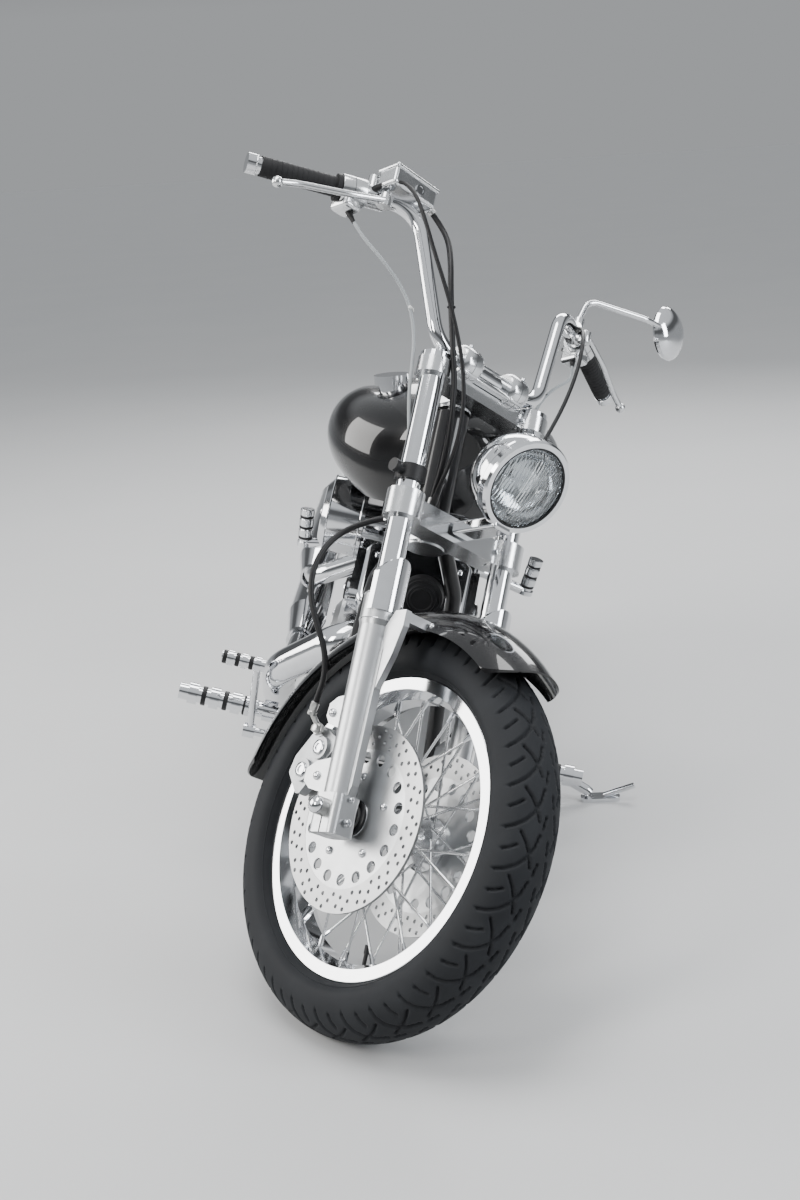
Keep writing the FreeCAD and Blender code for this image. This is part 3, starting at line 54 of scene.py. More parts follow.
# Shader writing.
class Sock:
    """A shader socket that takes part in sums; each operator adds its Math node."""

    def __init__(self, tree: bpy.types.NodeTree, socket: bpy.types.NodeSocket) -> None:
        """Keeps the tree and the socket."""
        self.tree = tree
        self.socket = socket

    def math(self, operation: str, *others: "Sock | float", first: "float | None" = None) -> "Sock":
        """Adds a Math node.

        Args:
            operation: the node's operation.
            others: the further inputs, links or numbers.
            first: a number that comes before this socket, for a reflected operator.

        Returns:
            The node's result.
        """
        node = self.tree.nodes.new("ShaderNodeMath")
        node.operation = operation
        values = [self, *others] if first is None else [first, self, *others]
        for slot, value in zip(node.inputs, values):
            if isinstance(value, Sock):
                self.tree.links.new(value.socket, slot)
            else:
                slot.default_value = value
        return Sock(self.tree, node.outputs[0])

    def __add__(self, other: "Sock | float") -> "Sock":
        """Sum."""
        return self.math("ADD", other)

    __radd__ = __add__

    def __mul__(self, other: "Sock | float") -> "Sock":
        """Product."""
        return self.math("MULTIPLY", other)

    __rmul__ = __mul__

    def __sub__(self, other: "Sock | float") -> "Sock":
        """Difference."""
        return self.math("SUBTRACT", other)

    def __rsub__(self, other: float) -> "Sock":
        """Number less this socket."""
        return self.math("SUBTRACT", first=other)


class Shade:
    """The node tree of one material, or of the sky, while it is written."""

    def __init__(self, owner: bpy.types.Material | bpy.types.World) -> None:
        """Empties the owner's tree."""
        owner.use_nodes = True
        self.owner = owner
        self.tree = owner.node_tree
        self.tree.nodes.clear()

    def node(self, kind: str, settings: dict | None = None, inputs: dict | None = None) -> bpy.types.Node:
        """Adds any node.

        Args:
            kind: the node's type.
            settings: its properties, set first; "stops" holds a ramp's places and colours.
            inputs: values or links by socket name.

        Returns:
            The node.
        """
        node = self.tree.nodes.new(kind)
        for key, value in (settings or {}).items():
            if key == "stops":
                ramp = node.color_ramp.elements
                while len(ramp) < len(value):
                    ramp.new(0.5)
                for element, (place, colour) in zip(ramp, value):
                    element.position = place
                    element.color = (*colour, 1.0)
            else:
                setattr(node, key, value)
        for key, value in (inputs or {}).items():
            if isinstance(value, Sock):
                self.tree.links.new(value.socket, node.inputs[key])
            else:
                node.inputs[key].default_value = value
        return node

    def out(self, node: bpy.types.Node, name: str | int = 0) -> Sock:
        """One of a node's results."""
        return Sock(self.tree, node.outputs[name])

    def place(self) -> Sock:
        """Object coordinates."""
        return self.out(self.node("ShaderNodeTexCoord"), "Object")

    def grain(self, scale: float, detail: float = 3.0, stretch: tuple = (1, 1, 1)) -> Sock:
        """Noise from 0 to 1 at a scale in features per metre."""
        spot = self.node("ShaderNodeMapping", inputs={"Vector": self.place(), "Scale": stretch})
        cloud = self.node("ShaderNodeTexNoise", inputs={
            "Vector": self.out(spot), "Scale": scale, "Detail": detail, "Roughness": 0.55})
        return self.out(cloud, "Fac")

    def cells(self, scale: float) -> Sock:
        """Distance to the nearest of scattered cells."""
        node = self.node("ShaderNodeTexVoronoi", {"feature": "SMOOTH_F1"}, {
            "Vector": self.place(), "Scale": scale})
        return self.out(node, "Distance")

    def ramp(self, value: Sock, stops: list) -> Sock:
        """Colour or grey by a value."""
        return self.out(self.node("ShaderNodeValToRGB", {"stops": stops}, {"Fac": value}), "Color")

    def blend(self, fac: Sock, a: tuple, b: tuple) -> Sock:
        """Mix of two colours."""
        node = self.node("ShaderNodeMix", {"data_type": "RGBA"}, {0: fac, 6: (*a, 1.0), 7: (*b, 1.0)})
        return self.out(node, 2)

    def bump(self, height: Sock, distance: float, strength: float = 1.0) -> Sock:
        """Normal from a height in metres."""
        return self.out(self.node("ShaderNodeBump", inputs={
            "Height": height, "Distance": distance, "Strength": strength}), "Normal")

    def surface(self, values: dict) -> bpy.types.Material:
        """Closes the tree with a Principled shader.

        Args:
            values: constants and links by socket name.

        Returns:
            The material.
        """
        body = self.node("ShaderNodeBsdfPrincipled", inputs=values)
        self.node("ShaderNodeOutputMaterial", inputs={"Surface": self.out(body)})
        return self.owner


@dataclass(frozen=True)
class Finish:
    """What all finishes share: a name, and a material made once."""

    name: str

    def write(self, shade: Shade) -> bpy.types.Material:
        """Writes the nodes."""
        raise NotImplementedError

    def material(self) -> bpy.types.Material:
        """The material, made at its first use."""
        known = bpy.data.materials.get(self.name)
        return known if known else self.write(Shade(bpy.data.materials.new(self.name)))


@dataclass(frozen=True)
class Metal(Finish):
    """Bare, plated or polished metal with faint smears and handling marks."""

    tint: tuple = (0.80, 0.81, 0.83)
    rough: float = 0.07
    spread: float = 0.06
    grain_scale: float = 60.0
    bump_height: float = 0.00002
    bump_scale: float = 900.0
    stretch: tuple = (1, 1, 1)

    def write(self, shade: Shade) -> bpy.types.Material:
        """Smears in roughness, slight tone changes and a fine surface."""
        smear = shade.grain(self.grain_scale, 4.0)
        fine = shade.grain(self.bump_scale, 2.0, self.stretch)
        dull = tuple(c * 0.86 for c in self.tint)
        return shade.surface({
            "Base Color": shade.blend(smear, self.tint, dull),
            "Metallic": 1.0,
            "Roughness": smear * self.spread + (self.rough - self.spread * 0.4) + fine * 0.01,
            "Normal": shade.bump(fine, self.bump_height, 0.6),
        })


@dataclass(frozen=True)
class BrushedDisc(Finish):
    """Ground steel with fine rings about a wheel's axle."""

    centre: tuple = (0, 0, 0)
    turn: tuple = (0, 0, 0)
    tint: tuple = (0.47, 0.475, 0.48)
    rough: float = 0.40

    def write(self, shade: Shade) -> bpy.types.Material:
        """Noise read by the distance from the axle."""
        spot = shade.node("ShaderNodeMapping", {"vector_type": "TEXTURE"}, {
            "Vector": shade.place(), "Location": self.centre, "Rotation": self.turn})
        flat = shade.node("ShaderNodeVectorMath", {"operation": "MULTIPLY"}, {
            0: shade.out(spot), 1: (0.0, 1.0, 1.0)})
        reach = shade.node("ShaderNodeVectorMath", {"operation": "LENGTH"}, {0: shade.out(flat)})
        rings = shade.node("ShaderNodeTexNoise", {"noise_dimensions": "1D"}, {
            "W": shade.out(reach, "Value"), "Scale": 1400.0, "Detail": 3.0})
        wear = shade.grain(45.0)
        ring = shade.out(rings, "Fac")
        return shade.surface({
            "Base Color": shade.blend(wear, self.tint, tuple(c * 0.92 for c in self.tint)),
            "Metallic": 1.0,
            "Roughness": ring * 0.10 + wear * 0.06 + (self.rough - 0.08),
            "Normal": shade.bump(ring, 0.00001, 0.4),
        })


@dataclass(frozen=True)
class GlossPaint(Finish):
    """Deep lacquer: dark base, clear coat, faint orange peel and a little dust."""

    tint: tuple = (0.002, 0.002, 0.0025)
    rough: float = 0.2
    coat: float = 1.0

    def write(self, shade: Shade) -> bpy.types.Material:
        """Dust in colour and roughness, peel in the coat's normal."""
        dust = shade.grain(18.0, 6.0)
        peel = shade.grain(420.0, 1.0)
        light = tuple(c + 0.005 for c in self.tint)
        return shade.surface({
            "Base Color": shade.blend(dust * dust, self.tint, light),
            "Roughness": dust * 0.12 + self.rough,
            "Coat Weight": self.coat,
            "Coat Roughness": 0.035,
            "Specular IOR Level": 0.12,
            "Normal": shade.bump(peel, 0.00002, 0.35),
        })


@dataclass(frozen=True)
class Dull(Finish):
    """Rubber, moulded plastic or powder coat, by its tone, grain and gloss."""

    tint: tuple = (0.008, 0.008, 0.009)
    dusty: tuple = (0.024, 0.024, 0.025)
    rough: float = 0.6
    spread: float = 0.2
    bump_scale: float = 700.0
    bump_height: float = 0.00006
    dust_scale: float = 26.0

    def write(self, shade: Shade) -> bpy.types.Material:
        """Two sizes of noise for dust and for the skin of the surface."""
        dust = shade.grain(self.dust_scale, 5.0)
        skin = shade.grain(self.bump_scale, 3.0)
        return shade.surface({
            "Base Color": shade.blend(dust * dust * 0.9 + skin * 0.1, self.tint, self.dusty),
            "Roughness": dust * self.spread + (self.rough - self.spread * 0.5),
            "Specular IOR Level": 0.25,
            "Normal": shade.bump(skin, self.bump_height, 0.8),
        })


@dataclass(frozen=True)
class Leather(Finish):
    """Smooth black seat leather: pebbled grain, soft wrinkles and rubbed crowns."""

    tint: tuple = (0.006, 0.006, 0.0065)
    rubbed: tuple = (0.018, 0.0175, 0.0175)

    def write(self, shade: Shade) -> bpy.types.Material:
        """Cells for pebbles, wide noise for wrinkles and wear."""
        pebble = shade.cells(520.0)
        wrinkle = shade.grain(34.0, 5.0)
        wear = shade.grain(14.0, 3.0)
        height = pebble * 0.5 + wrinkle * 1.6
        return shade.surface({
            "Base Color": shade.blend(wear * pebble * 1.4, self.tint, self.rubbed),
            "Roughness": pebble * 0.12 + wear * 0.14 + 0.36,
            "Specular IOR Level": 0.3,
            "Normal": shade.bump(height, 0.0005, 0.55),
        })


@dataclass(frozen=True)
class Glass(Finish):
    """Clear or tinted lamp glass."""

    tint: tuple = (0.97, 0.98, 0.98)
    rough: float = 0.02
    through: float = 1.0

    def write(self, shade: Shade) -> bpy.types.Material:
        """Haze in the roughness and slight waves."""
        haze = shade.grain(30.0, 4.0)
        wave = shade.grain(140.0, 1.0)
        return shade.surface({
            "Base Color": shade.blend(haze, self.tint, tuple(c * 0.97 for c in self.tint)),
            "Roughness": haze * 0.03 + self.rough,
            "IOR": 1.5,
            "Transmission Weight": self.through,
            "Normal": shade.bump(wave, 0.00002, 0.3),
        })


CHROME = Metal("chrome_plate")
POLISHED = Metal("polished_alloy", tint=(0.76, 0.77, 0.78), rough=0.19, spread=0.12, bump_height=0.00003)
SATIN_ALLOY = Metal("satin_alloy", tint=(0.56, 0.57, 0.58), rough=0.32, spread=0.12, bump_scale=1400.0,
                    bump_height=0.00006)
CAST_ALLOY = Metal("cast_alloy", tint=(0.40, 0.41, 0.42), rough=0.40, spread=0.16, grain_scale=35.0,
                   bump_scale=600.0, bump_height=0.0002)
ZINC = Metal("zinc_steel", tint=(0.55, 0.55, 0.54), rough=0.3, spread=0.14)
BLACK_GLOSS = GlossPaint("black_lacquer")
FRAME_BLACK = GlossPaint("frame_enamel", tint=(0.008, 0.008, 0.009), rough=0.3, coat=0.5)
ENGINE_BLACK = Dull("black_cast", tint=(0.014, 0.014, 0.015), rough=0.5, bump_scale=500.0, bump_height=0.0001)
TYRE_RUBBER = Dull("tyre_rubber", tint=(0.006, 0.007, 0.009), dusty=(0.026, 0.028, 0.031), rough=0.72,
                   bump_scale=900.0, bump_height=0.00008, dust_scale=20.0)
GRIP_RUBBER = Dull("grip_rubber", rough=0.62, bump_scale=1100.0)
SEAL_RUBBER = Dull("seal_rubber", tint=(0.01, 0.01, 0.011), rough=0.45, bump_height=0.00003)
HOSE_RUBBER = Dull("hose_rubber", tint=(0.006, 0.006, 0.007), dusty=(0.016, 0.016, 0.017), rough=0.42,
                   bump_scale=1300.0, bump_height=0.00004)
LEAD_GREY = Dull("lead_sleeve", tint=(0.30, 0.32, 0.33), dusty=(0.40, 0.42, 0.43), rough=0.5)
BLACK_PLASTIC = Dull("black_plastic", rough=0.42, spread=0.14, bump_scale=1500.0, bump_height=0.00003)
WHITE_PLASTIC = Dull("white_plastic", tint=(0.72, 0.72, 0.70), dusty=(0.6, 0.6, 0.58), rough=0.4)
RED_PLASTIC = Dull("red_plastic", tint=(0.35, 0.01, 0.01), dusty=(0.3, 0.03, 0.02), rough=0.35)
BLANK_PLATE = Dull("blank_plate", tint=(0.78, 0.78, 0.76), dusty=(0.66, 0.66, 0.63), rough=0.35,
                   bump_scale=300.0)
DIAL_FACE = Dull("dial_face", tint=(0.02, 0.02, 0.022), dusty=(0.03, 0.03, 0.03), rough=0.5)
SEAT_LEATHER = Leather("seat_leather")
CLEAR_GLASS = Glass("clear_glass")
LAMP_GLASS = Glass("lamp_glass", tint=(0.80, 0.83, 0.84), rough=0.01)
RED_GLASS = Glass("red_lens", tint=(0.62, 0.015, 0.01), rough=0.08, through=0.55)
AMBER_GLASS = Glass("amber_lens", tint=(0.95, 0.28, 0.02), rough=0.1, through=0.55)
SILVER_MIRROR = Metal("mirror_silver", tint=(0.88, 0.89, 0.9), rough=0.03, spread=0.02)


# Places.
@dataclass(frozen=True)
class Bench:
    """A frame on one body: x left, y back, z up, in mm, and where it stands in the scene."""

    origin: Vector
    turn: Matrix
    body: str

    def matrix(self) -> Matrix:
        """From this frame's mm to the scene's metres."""
        return Matrix.Translation(self.origin) @ self.turn.to_4x4() @ Matrix.Scale(MM, 4)

    def at(self, x: float, y: float, z: float) -> Vector:
        """A point of this frame in the scene."""
        return self.matrix() @ Vector((x, y, z))


def joint(name: str) -> dict:
    """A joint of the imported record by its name."""
    return next(j for j in frame["joints"] if j["name"] == name)


def columns(x: Vector, y: Vector, z: Vector) -> Matrix:
    """Rotation with these axes as its columns."""
    return Matrix((x, y, z)).transposed()


def fork_bench() -> Bench:
    """Frame of the fork at the front axle, as it stands steered and leaned."""
    x = Vector(joint("front_wheel_spin")["axis"]).normalized()
    z = Vector(joint("steering")["axis"]).normalized()
    y = z.cross(x).normalized()
    return Bench(Vector(joint("front_wheel_spin")["pos_m"]), columns(x, y, y.cross(x) * -1), "steering")


def rear_bench() -> Bench:
    """Frame of the bike at the rear axle."""
    x = Vector(joint("rear_wheel_spin")["axis"]).normalized()
    y = Vector((0.0, -x.z, x.y)).normalized()
    return Bench(Vector(joint("rear_wheel_spin")["pos_m"]), columns(x, y, x.cross(y)), "rear_wheel")


FORK = fork_bench()
FRONT = Bench(FORK.origin, FORK.turn, "front_wheel")
REAR = rear_bench()
REAR_AXLE = Vector((0.0, 820.0, 326.5))
BIKE = Bench(REAR.at(*(-REAR_AXLE)), REAR.turn, "frame")

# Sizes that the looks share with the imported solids, in mm.
FORK_HALF = 120.0
SLIDER_RADIUS = 29.0
SLIDER_TOP = 350.0
LOWER_CLAMP_Z = 485.0
HEAD_Z = 530.0
UPPER_CLAMP_Z = 738.0
FORK_TOP = 766.0
BAR_Z = 790.0
CRANK = Vector((0.0, -40.0, 300.0))
BAR_BEND = Vector((190.0, 50.0, 1030.0))
BAR_RUN = Vector((250.0, 108.0, -28.0))
X = Vector((1.0, 0.0, 0.0))
Y = Vector((0.0, 1.0, 0.0))
Z = Vector((0.0, 0.0, 1.0))


def along_grip(x: float, back: float = 0.0, up: float = 0.0) -> Vector:
    """A place on or beside the outer run of the bar, in the fork's frame."""
    t = (abs(x) - BAR_BEND.x) / BAR_RUN.x
    return Vector((x, BAR_BEND.y + BAR_RUN.y * t + back, BAR_BEND.z + BAR_RUN.z * t + up))


def mirrored(spot: Vector, side: int) -> Vector:
    """A place or direction, or its like on the right when side is -1."""
    return Vector((side * spot.x, spot.y, spot.z))


# Shaping.
class BoltHead(Enum):
    """Kinds of bolt head."""

    HEX = 6
    DOME = 14
    SOCKET = 16


class Form:
    """A mesh that bmesh operators shape in one sub-assembly's frame."""

    def __init__(self, bench: Bench) -> None:
        """Starts empty."""
        self.bench = bench
        self.bm = bmesh.new()

    def lathe(self, profile: list, at: Vector, axis: Vector, steps: int = 48) -> None:
        """Turns a profile about an axis.

        Args:
            profile: places along the axis and radii, in mm; a ring's profile doesn't touch the axis.
            at: the axis's start.
            axis: its direction.
            steps: faces around.
        """
        turn = X.rotation_difference(axis.normalized()).to_matrix()
        verts = [self.bm.verts.new(at + turn @ Vector((a, r, 0.0))) for a, r in profile]
        edges = [self.bm.edges.new(pair) for pair in zip(verts, verts[1:])]
        if profile[0][1] > 0:
            edges.append(self.bm.edges.new((verts[-1], verts[0])))
        bmesh.ops.spin(self.bm, geom=verts + edges, cent=at, axis=axis.normalized(), angle=2 * math.pi,
                       steps=steps, use_merge=True)

    def ring(self, at: Vector, axis: Vector, radius: float, thick: float, steps: int = 40, sides: int = 8
             ) -> None:
        """A round ring of round section."""
        spots = [(thick * math.cos(a), radius + thick * math.sin(a))
                 for a in (2 * math.pi * i / sides for i in range(sides))]
        self.lathe(spots, at, axis, steps)

    def block(self, at: Vector, size: tuple, turn: Matrix | None = None, soften: float = 0.0) -> None:
        """A box about a point, its edges rounded if asked."""
        place = Matrix.Translation(at) @ (turn.to_4x4() if turn else Matrix.Identity(4))
        made = bmesh.ops.create_cube(self.bm, size=1.0, matrix=place @ Matrix.Diagonal((*size, 1.0)))
        if soften:
            self.bevel(list({e for v in made["verts"] for e in v.link_edges}), soften, 3, False)

    def bevel(self, edges: list, width: float, segments: int, clamp: bool) -> None:
        """Rounds edges, and if asked keeps the bevels from crossing."""
        bmesh.ops.bevel(self.bm, geom=edges, offset=width, segments=segments, profile=0.5, affect="EDGES",
                        material=-1, clamp_overlap=clamp)

    def bolt(self, at: Vector, axis: Vector, radius: float, kind: BoltHead = BoltHead.SOCKET) -> None:
        """A bolt's head that stands on a face."""
        h = radius * 0.75
        rows = {
            BoltHead.HEX: [(-0.5, radius * 1.25), (0.8, radius * 1.25), (0.8, radius), (h, radius),
                           (h + 0.6, radius * 0.8), (h + 0.6, 0)],
            BoltHead.DOME: [(-0.5, radius), (h * 0.4, radius), (h * 0.8, radius * 0.82),
                            (h * 1.1, radius * 0.5), (h * 1.2, 0)],
            BoltHead.SOCKET: [(-0.5, radius), (h, radius), (h * 1.15, radius * 0.85),
                              (h * 1.15, radius * 0.5), (h * 0.4, radius * 0.45), (h * 0.4, 0)],
        }[kind]
        self.lathe([(-0.5, 0), *rows], at, axis, kind.value)

    def rod(self, p: Vector, q: Vector, radius: float, steps: int = 12) -> None:
        """A round bar with flat ends."""
        run = (q - p).length
        self.lathe([(0, 0), (0, radius), (run, radius), (run, 0)], p, q - p, steps)

    def soften(self, width: float, angle: float = 35.0) -> None:
        """Rounds the edges that turn by more than an angle."""
        bmesh.ops.remove_doubles(self.bm, verts=self.bm.verts, dist=0.01)
        bmesh.ops.recalc_face_normals(self.bm, faces=self.bm.faces)
        turn = math.radians(angle)
        sharp = [e for e in self.bm.edges if len(e.link_faces) == 2 and e.calc_face_angle(0) > turn]
        self.bevel(sharp, width, 2, True)

    def cut_from(self, node: str, planes: tuple, swell: float = 0.0) -> None:
        """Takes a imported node's mesh, keeps what lies beyond every plane, and closes it.

        Args:
            node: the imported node.
            planes: a point and the kept side of each.
            swell: how far the surface moves out, in mm.
        """
        self.bm.free()
        self.bm = copied(node)
        bmesh.ops.transform(self.bm, matrix=self.bench.matrix().inverted(), verts=self.bm.verts)
        for point, way in planes:
            geom = [*self.bm.verts, *self.bm.edges, *self.bm.faces]
            bmesh.ops.bisect_plane(self.bm, geom=geom, dist=0.001, plane_co=point, plane_no=way,
                                   clear_inner=True)
        if swell:
            self.bm.normal_update()
            for vert, normal in [(v, v.normal.copy()) for v in self.bm.verts]:
                vert.co += normal * swell
        rim = [e for e in self.bm.edges if len(e.link_faces) == 1]
        bmesh.ops.holes_fill(self.bm, edges=rim, sides=0)

    def done(self, name: str, finish: Finish, replaces: tuple = (), slot: str = "", crease: float = 38.0
             ) -> bpy.types.Object:
        """Places the mesh in the scene and dresses it.

        Args:
            name: the piece's name.
            finish: what it is made of.
            replaces: CAD nodes that it stands for.
            slot: the record's material slot; not used.
            crease: angle past which an edge shades sharp.

        Returns:
            The object.
        """
        bmesh.ops.remove_doubles(self.bm, verts=self.bm.verts, dist=0.005)
        bmesh.ops.recalc_face_normals(self.bm, faces=self.bm.faces)
        bmesh.ops.transform(self.bm, matrix=self.bench.matrix(), verts=self.bm.verts)
        for face in self.bm.faces:
            face.smooth = True
        for edge in self.bm.edges:
            edge.smooth = len(edge.link_faces) != 2 or edge.calc_face_angle(0) < math.radians(crease)
        mesh = bpy.data.meshes.new(name)
        self.bm.to_mesh(mesh)
        self.bm.free()
        return settle(bpy.data.objects.new(name, mesh), finish, self.bench.body, replaces)


def settle(piece: bpy.types.Object, finish: Finish, body: str, replaces: tuple = ()
           ) -> bpy.types.Object:
    """Links a piece, gives it its finish, and lets it ride."""
    if piece.name not in bpy.context.scene.collection.objects:
        bpy.context.scene.collection.objects.link(piece)
    piece.data.materials.clear()
    piece.data.materials.append(finish.material())
    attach(piece, body)
    if replaces:
        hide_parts(*replaces)
    return piece


def dress(node: str, finish: Finish) -> None:
    """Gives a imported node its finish."""
    piece = frame["nodes"][node]
    if not piece.material_slots:
        piece.data.materials.append(finish.material())
    for slot in piece.material_slots:
        slot.material = finish.material()


def copied(node: str) -> bmesh.types.BMesh:
    """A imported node's mesh, merged, in metres."""
    bm = bmesh.new()
    bm.from_mesh(frame["nodes"][node].data)
    bmesh.ops.remove_doubles(bm, verts=bm.verts, dist=0.00001)
    return bm


# Stage.
@dataclass(frozen=True)
class Studio:
    """Floor, soft lights and the camera at the photograph's angle."""

    eye: tuple = (0.16116, -3.34320, 1.34567)
    right: tuple = (0.99655369, 0.05629903, -0.06091932)
    up: tuple = (0.04364415, 0.26866449, 0.96224455)
    ahead: tuple = (-0.0705403, 0.96158713, -0.26528147)
    lens: float = 51.19
    sensor: float = 36.0
    bands: tuple = ((0.0, 0.41), (0.07, 0.41), (0.20, 0.13), (0.36, 0.12), (0.52, 0.85), (1.0, 0.95))

    def camera(self) -> None:
        """Camera solved from the photograph, for an image of 800 by 1200."""
        data = bpy.data.cameras.new("camera")
        data.sensor_width = self.sensor
        data.lens = self.lens
        camera = bpy.data.objects.new("camera", data)
        turn = columns(Vector(self.right), Vector(self.up), -Vector(self.ahead))
        camera.matrix_world = Matrix.Translation(self.eye) @ turn.to_4x4()
        bpy.context.scene.collection.objects.link(camera)
        bpy.context.scene.camera = camera

    def floor(self) -> None:
        """Pale floor."""
        bm = bmesh.new()
        bmesh.ops.create_grid(bm, x_segments=1, y_segments=1, size=60.0)
        mesh = bpy.data.meshes.new("floor")
        bm.to_mesh(mesh)
        bm.free()
        floor = bpy.data.objects.new("floor", mesh)
        shade = Shade(bpy.data.materials.new("pale_floor"))
        cloud = shade.grain(1.2, 4.0)
        mesh.materials.append(shade.surface({
            "Base Color": shade.blend(cloud, (0.50, 0.505, 0.51), (0.55, 0.55, 0.55)),
            "Roughness": cloud * 0.1 + 0.6,
        }))
        bpy.context.scene.collection.objects.link(floor)

    def lamp(self, name: str, at: tuple, size: tuple, power: float, tint: tuple = (1, 1, 1),
             aim: tuple = (0, -0.2, 0.6)) -> None:
        """A soft box.

        Args:
            name: its name.
            at: its place.
            size: width and height.
            power: in watts.
            tint: its colour.
            aim: what it points at.
        """
        data = bpy.data.lights.new(name, "AREA")
        data.shape = "RECTANGLE"
        data.size, data.size_y = size
        data.energy = power
        data.color = tint
        lamp = bpy.data.objects.new(name, data)
        lamp.location = at
        lamp.rotation_euler = (Vector(aim) - Vector(at)).to_track_quat("-Z", "Y").to_euler()
        bpy.context.scene.collection.objects.link(lamp)

    def lights(self) -> None:
        """Large boxes on all sides."""
        self.lamp("key", (-4.4, -0.1, 2.3), (3.2, 2.6), 200.0, (1.0, 0.985, 0.96))
        self.lamp("front_left", (-2.9, -3.9, 3.3), (1.3, 1.9), 120.0, (1.0, 0.98, 0.95))
        self.lamp("fill", (3.9, -2.2, 2.2), (1.1, 2.8), 130.0, (0.93, 0.96, 1.0))
        self.lamp("back", (1.0, 4.2, 3.4), (3.8, 1.6), 170.0)
        self.lamp("top", (-0.2, -0.6, 4.6), (1.6, 3.6), 150.0)

    def sky(self) -> None:
        """Pale surround; its dark band gives contrast to the chrome."""
        world = bpy.data.worlds.new("studio")
        shade = Shade(world)
        way = shade.out(shade.node("ShaderNodeTexCoord"), "Generated")
        split = shade.node("ShaderNodeSeparateXYZ", inputs={0: way})
        stops = [(place, (g * 0.97, g, g * 1.03)) for place, g in self.bands]
        tone = shade.ramp(shade.out(split, "Z"), stops)
        back = shade.node("ShaderNodeBackground", inputs={"Color": tone, "Strength": 0.9})
        shade.node("ShaderNodeOutputWorld", inputs={"Surface": shade.out(back)})
        bpy.context.scene.world = world

    def build(self) -> None:
        """All of the stage."""
        self.camera()
        self.floor()
        self.lights()
        self.sky()


# Hoses and cables.
@dataclass(frozen=True)
class Route:
    """A hose or cable on the fork: its points in mm, diameter, real length and cover."""

    node: str
    points: tuple
    diameter: float
    length: float
    finish: Finish
    stiffness: str = "medium"

    def build(self) -> None:
        """One smooth curve on the route's points."""
        curve = bpy.data.curves.new(self.node + "_line", "CURVE")
        curve.dimensions = "3D"
        spline = curve.splines.new("NURBS")
        spline.points.add(len(self.points) - 1)
        for point, spot in zip(spline.points, self.points):
            point.co = (*FORK.at(*spot), 1.0)
        spline.order_u = 3
        spline.use_endpoint_u = True
        curve.resolution_u = 10
        curve.bevel_depth = self.diameter * MM / 2
        curve.bevel_resolution = 4
        curve.use_fill_caps = True
        line = bpy.data.objects.new(self.node + "_line", curve)
        piece = settle(line, self.finish, FORK.body, (self.node,))
        tuple(FORK.at(*self.points[0]))


LEAD_RUN = ((274, 80, 946), (242, 50, 910), (204, 36, 880), (172, 30, 846), (152, 30, 804), (142, 32, 760),
            (133, 36, 716), (118, 40, 674), (104, 40, 630), (94, 34, 588), (88, 26, 554), (86, 20, 527))
ROUTES = (
    Route("main_hose", ((-182, 41, 1041.7), (-156, 32, 1022), (-140, 12, 988), (-146, -14, 936),
                        (-144, -26, 884), (-131, -30, 832), (-116, -32, 782), (-100, -34, 734),
                        (-90, -32, 688), (-78, -24, 640), (-64, -8, 596), (-58, 6, 556), (-56, 10, 527)),
          10.0, 0.5608, HOSE_RUBBER),
    Route("right_hose", ((-86, 42, 508), (-97, 62, 503), (-117, 82, 491), (-156, 94, 460), (-184, 98, 420),
                         (-196, 98, 374), (-190, 94, 330), (-172, 84, 290), (-152, 74, 252), (-140, 76, 212),
                         (-136, 88, 180), (-130, 100, 156)), 10.0, 0.4361, HOSE_RUBBER),
    Route("throttle_cable", ((-275, 69.7, 1026.5), (-268, 24, 1040), (-252, -10, 1016), (-236, -32, 968),
                             (-212, -46, 914), (-180, -56, 862), (-150, -62, 812), (-122, -64, 762),
                             (-100, -62, 714), (-84, -54, 668), (-72, -40, 626), (-66, -22, 588),
                             (-64, -8, 556), (-63, -2, 527)), 7.0, 0.6387, HOSE_RUBBER),
    Route("clutch_cable", ((246, 60.2, 1019.7), (228, 28, 1006), (206, 0, 976), (186, -24, 930),
                           (168, -40, 880), (150, -50, 828), (132, -54, 776), (114, -52, 724), (98, -44, 674),
                           (86, -30, 626), (80, -14, 582), (78, -5, 554), (77, 0, 527)),
          7.0, 0.5707, HOSE_RUBBER),
    Route("right_leads", ((-292, 102.1, 984.6), *((-x, y, z) for x, y, z in LEAD_RUN)), 6.0, 0.5351,
          LEAD_GREY),
    Route("left_leads", ((292, 102.1, 984.6), *LEAD_RUN), 6.0, 0.5351, LEAD_GREY),
)


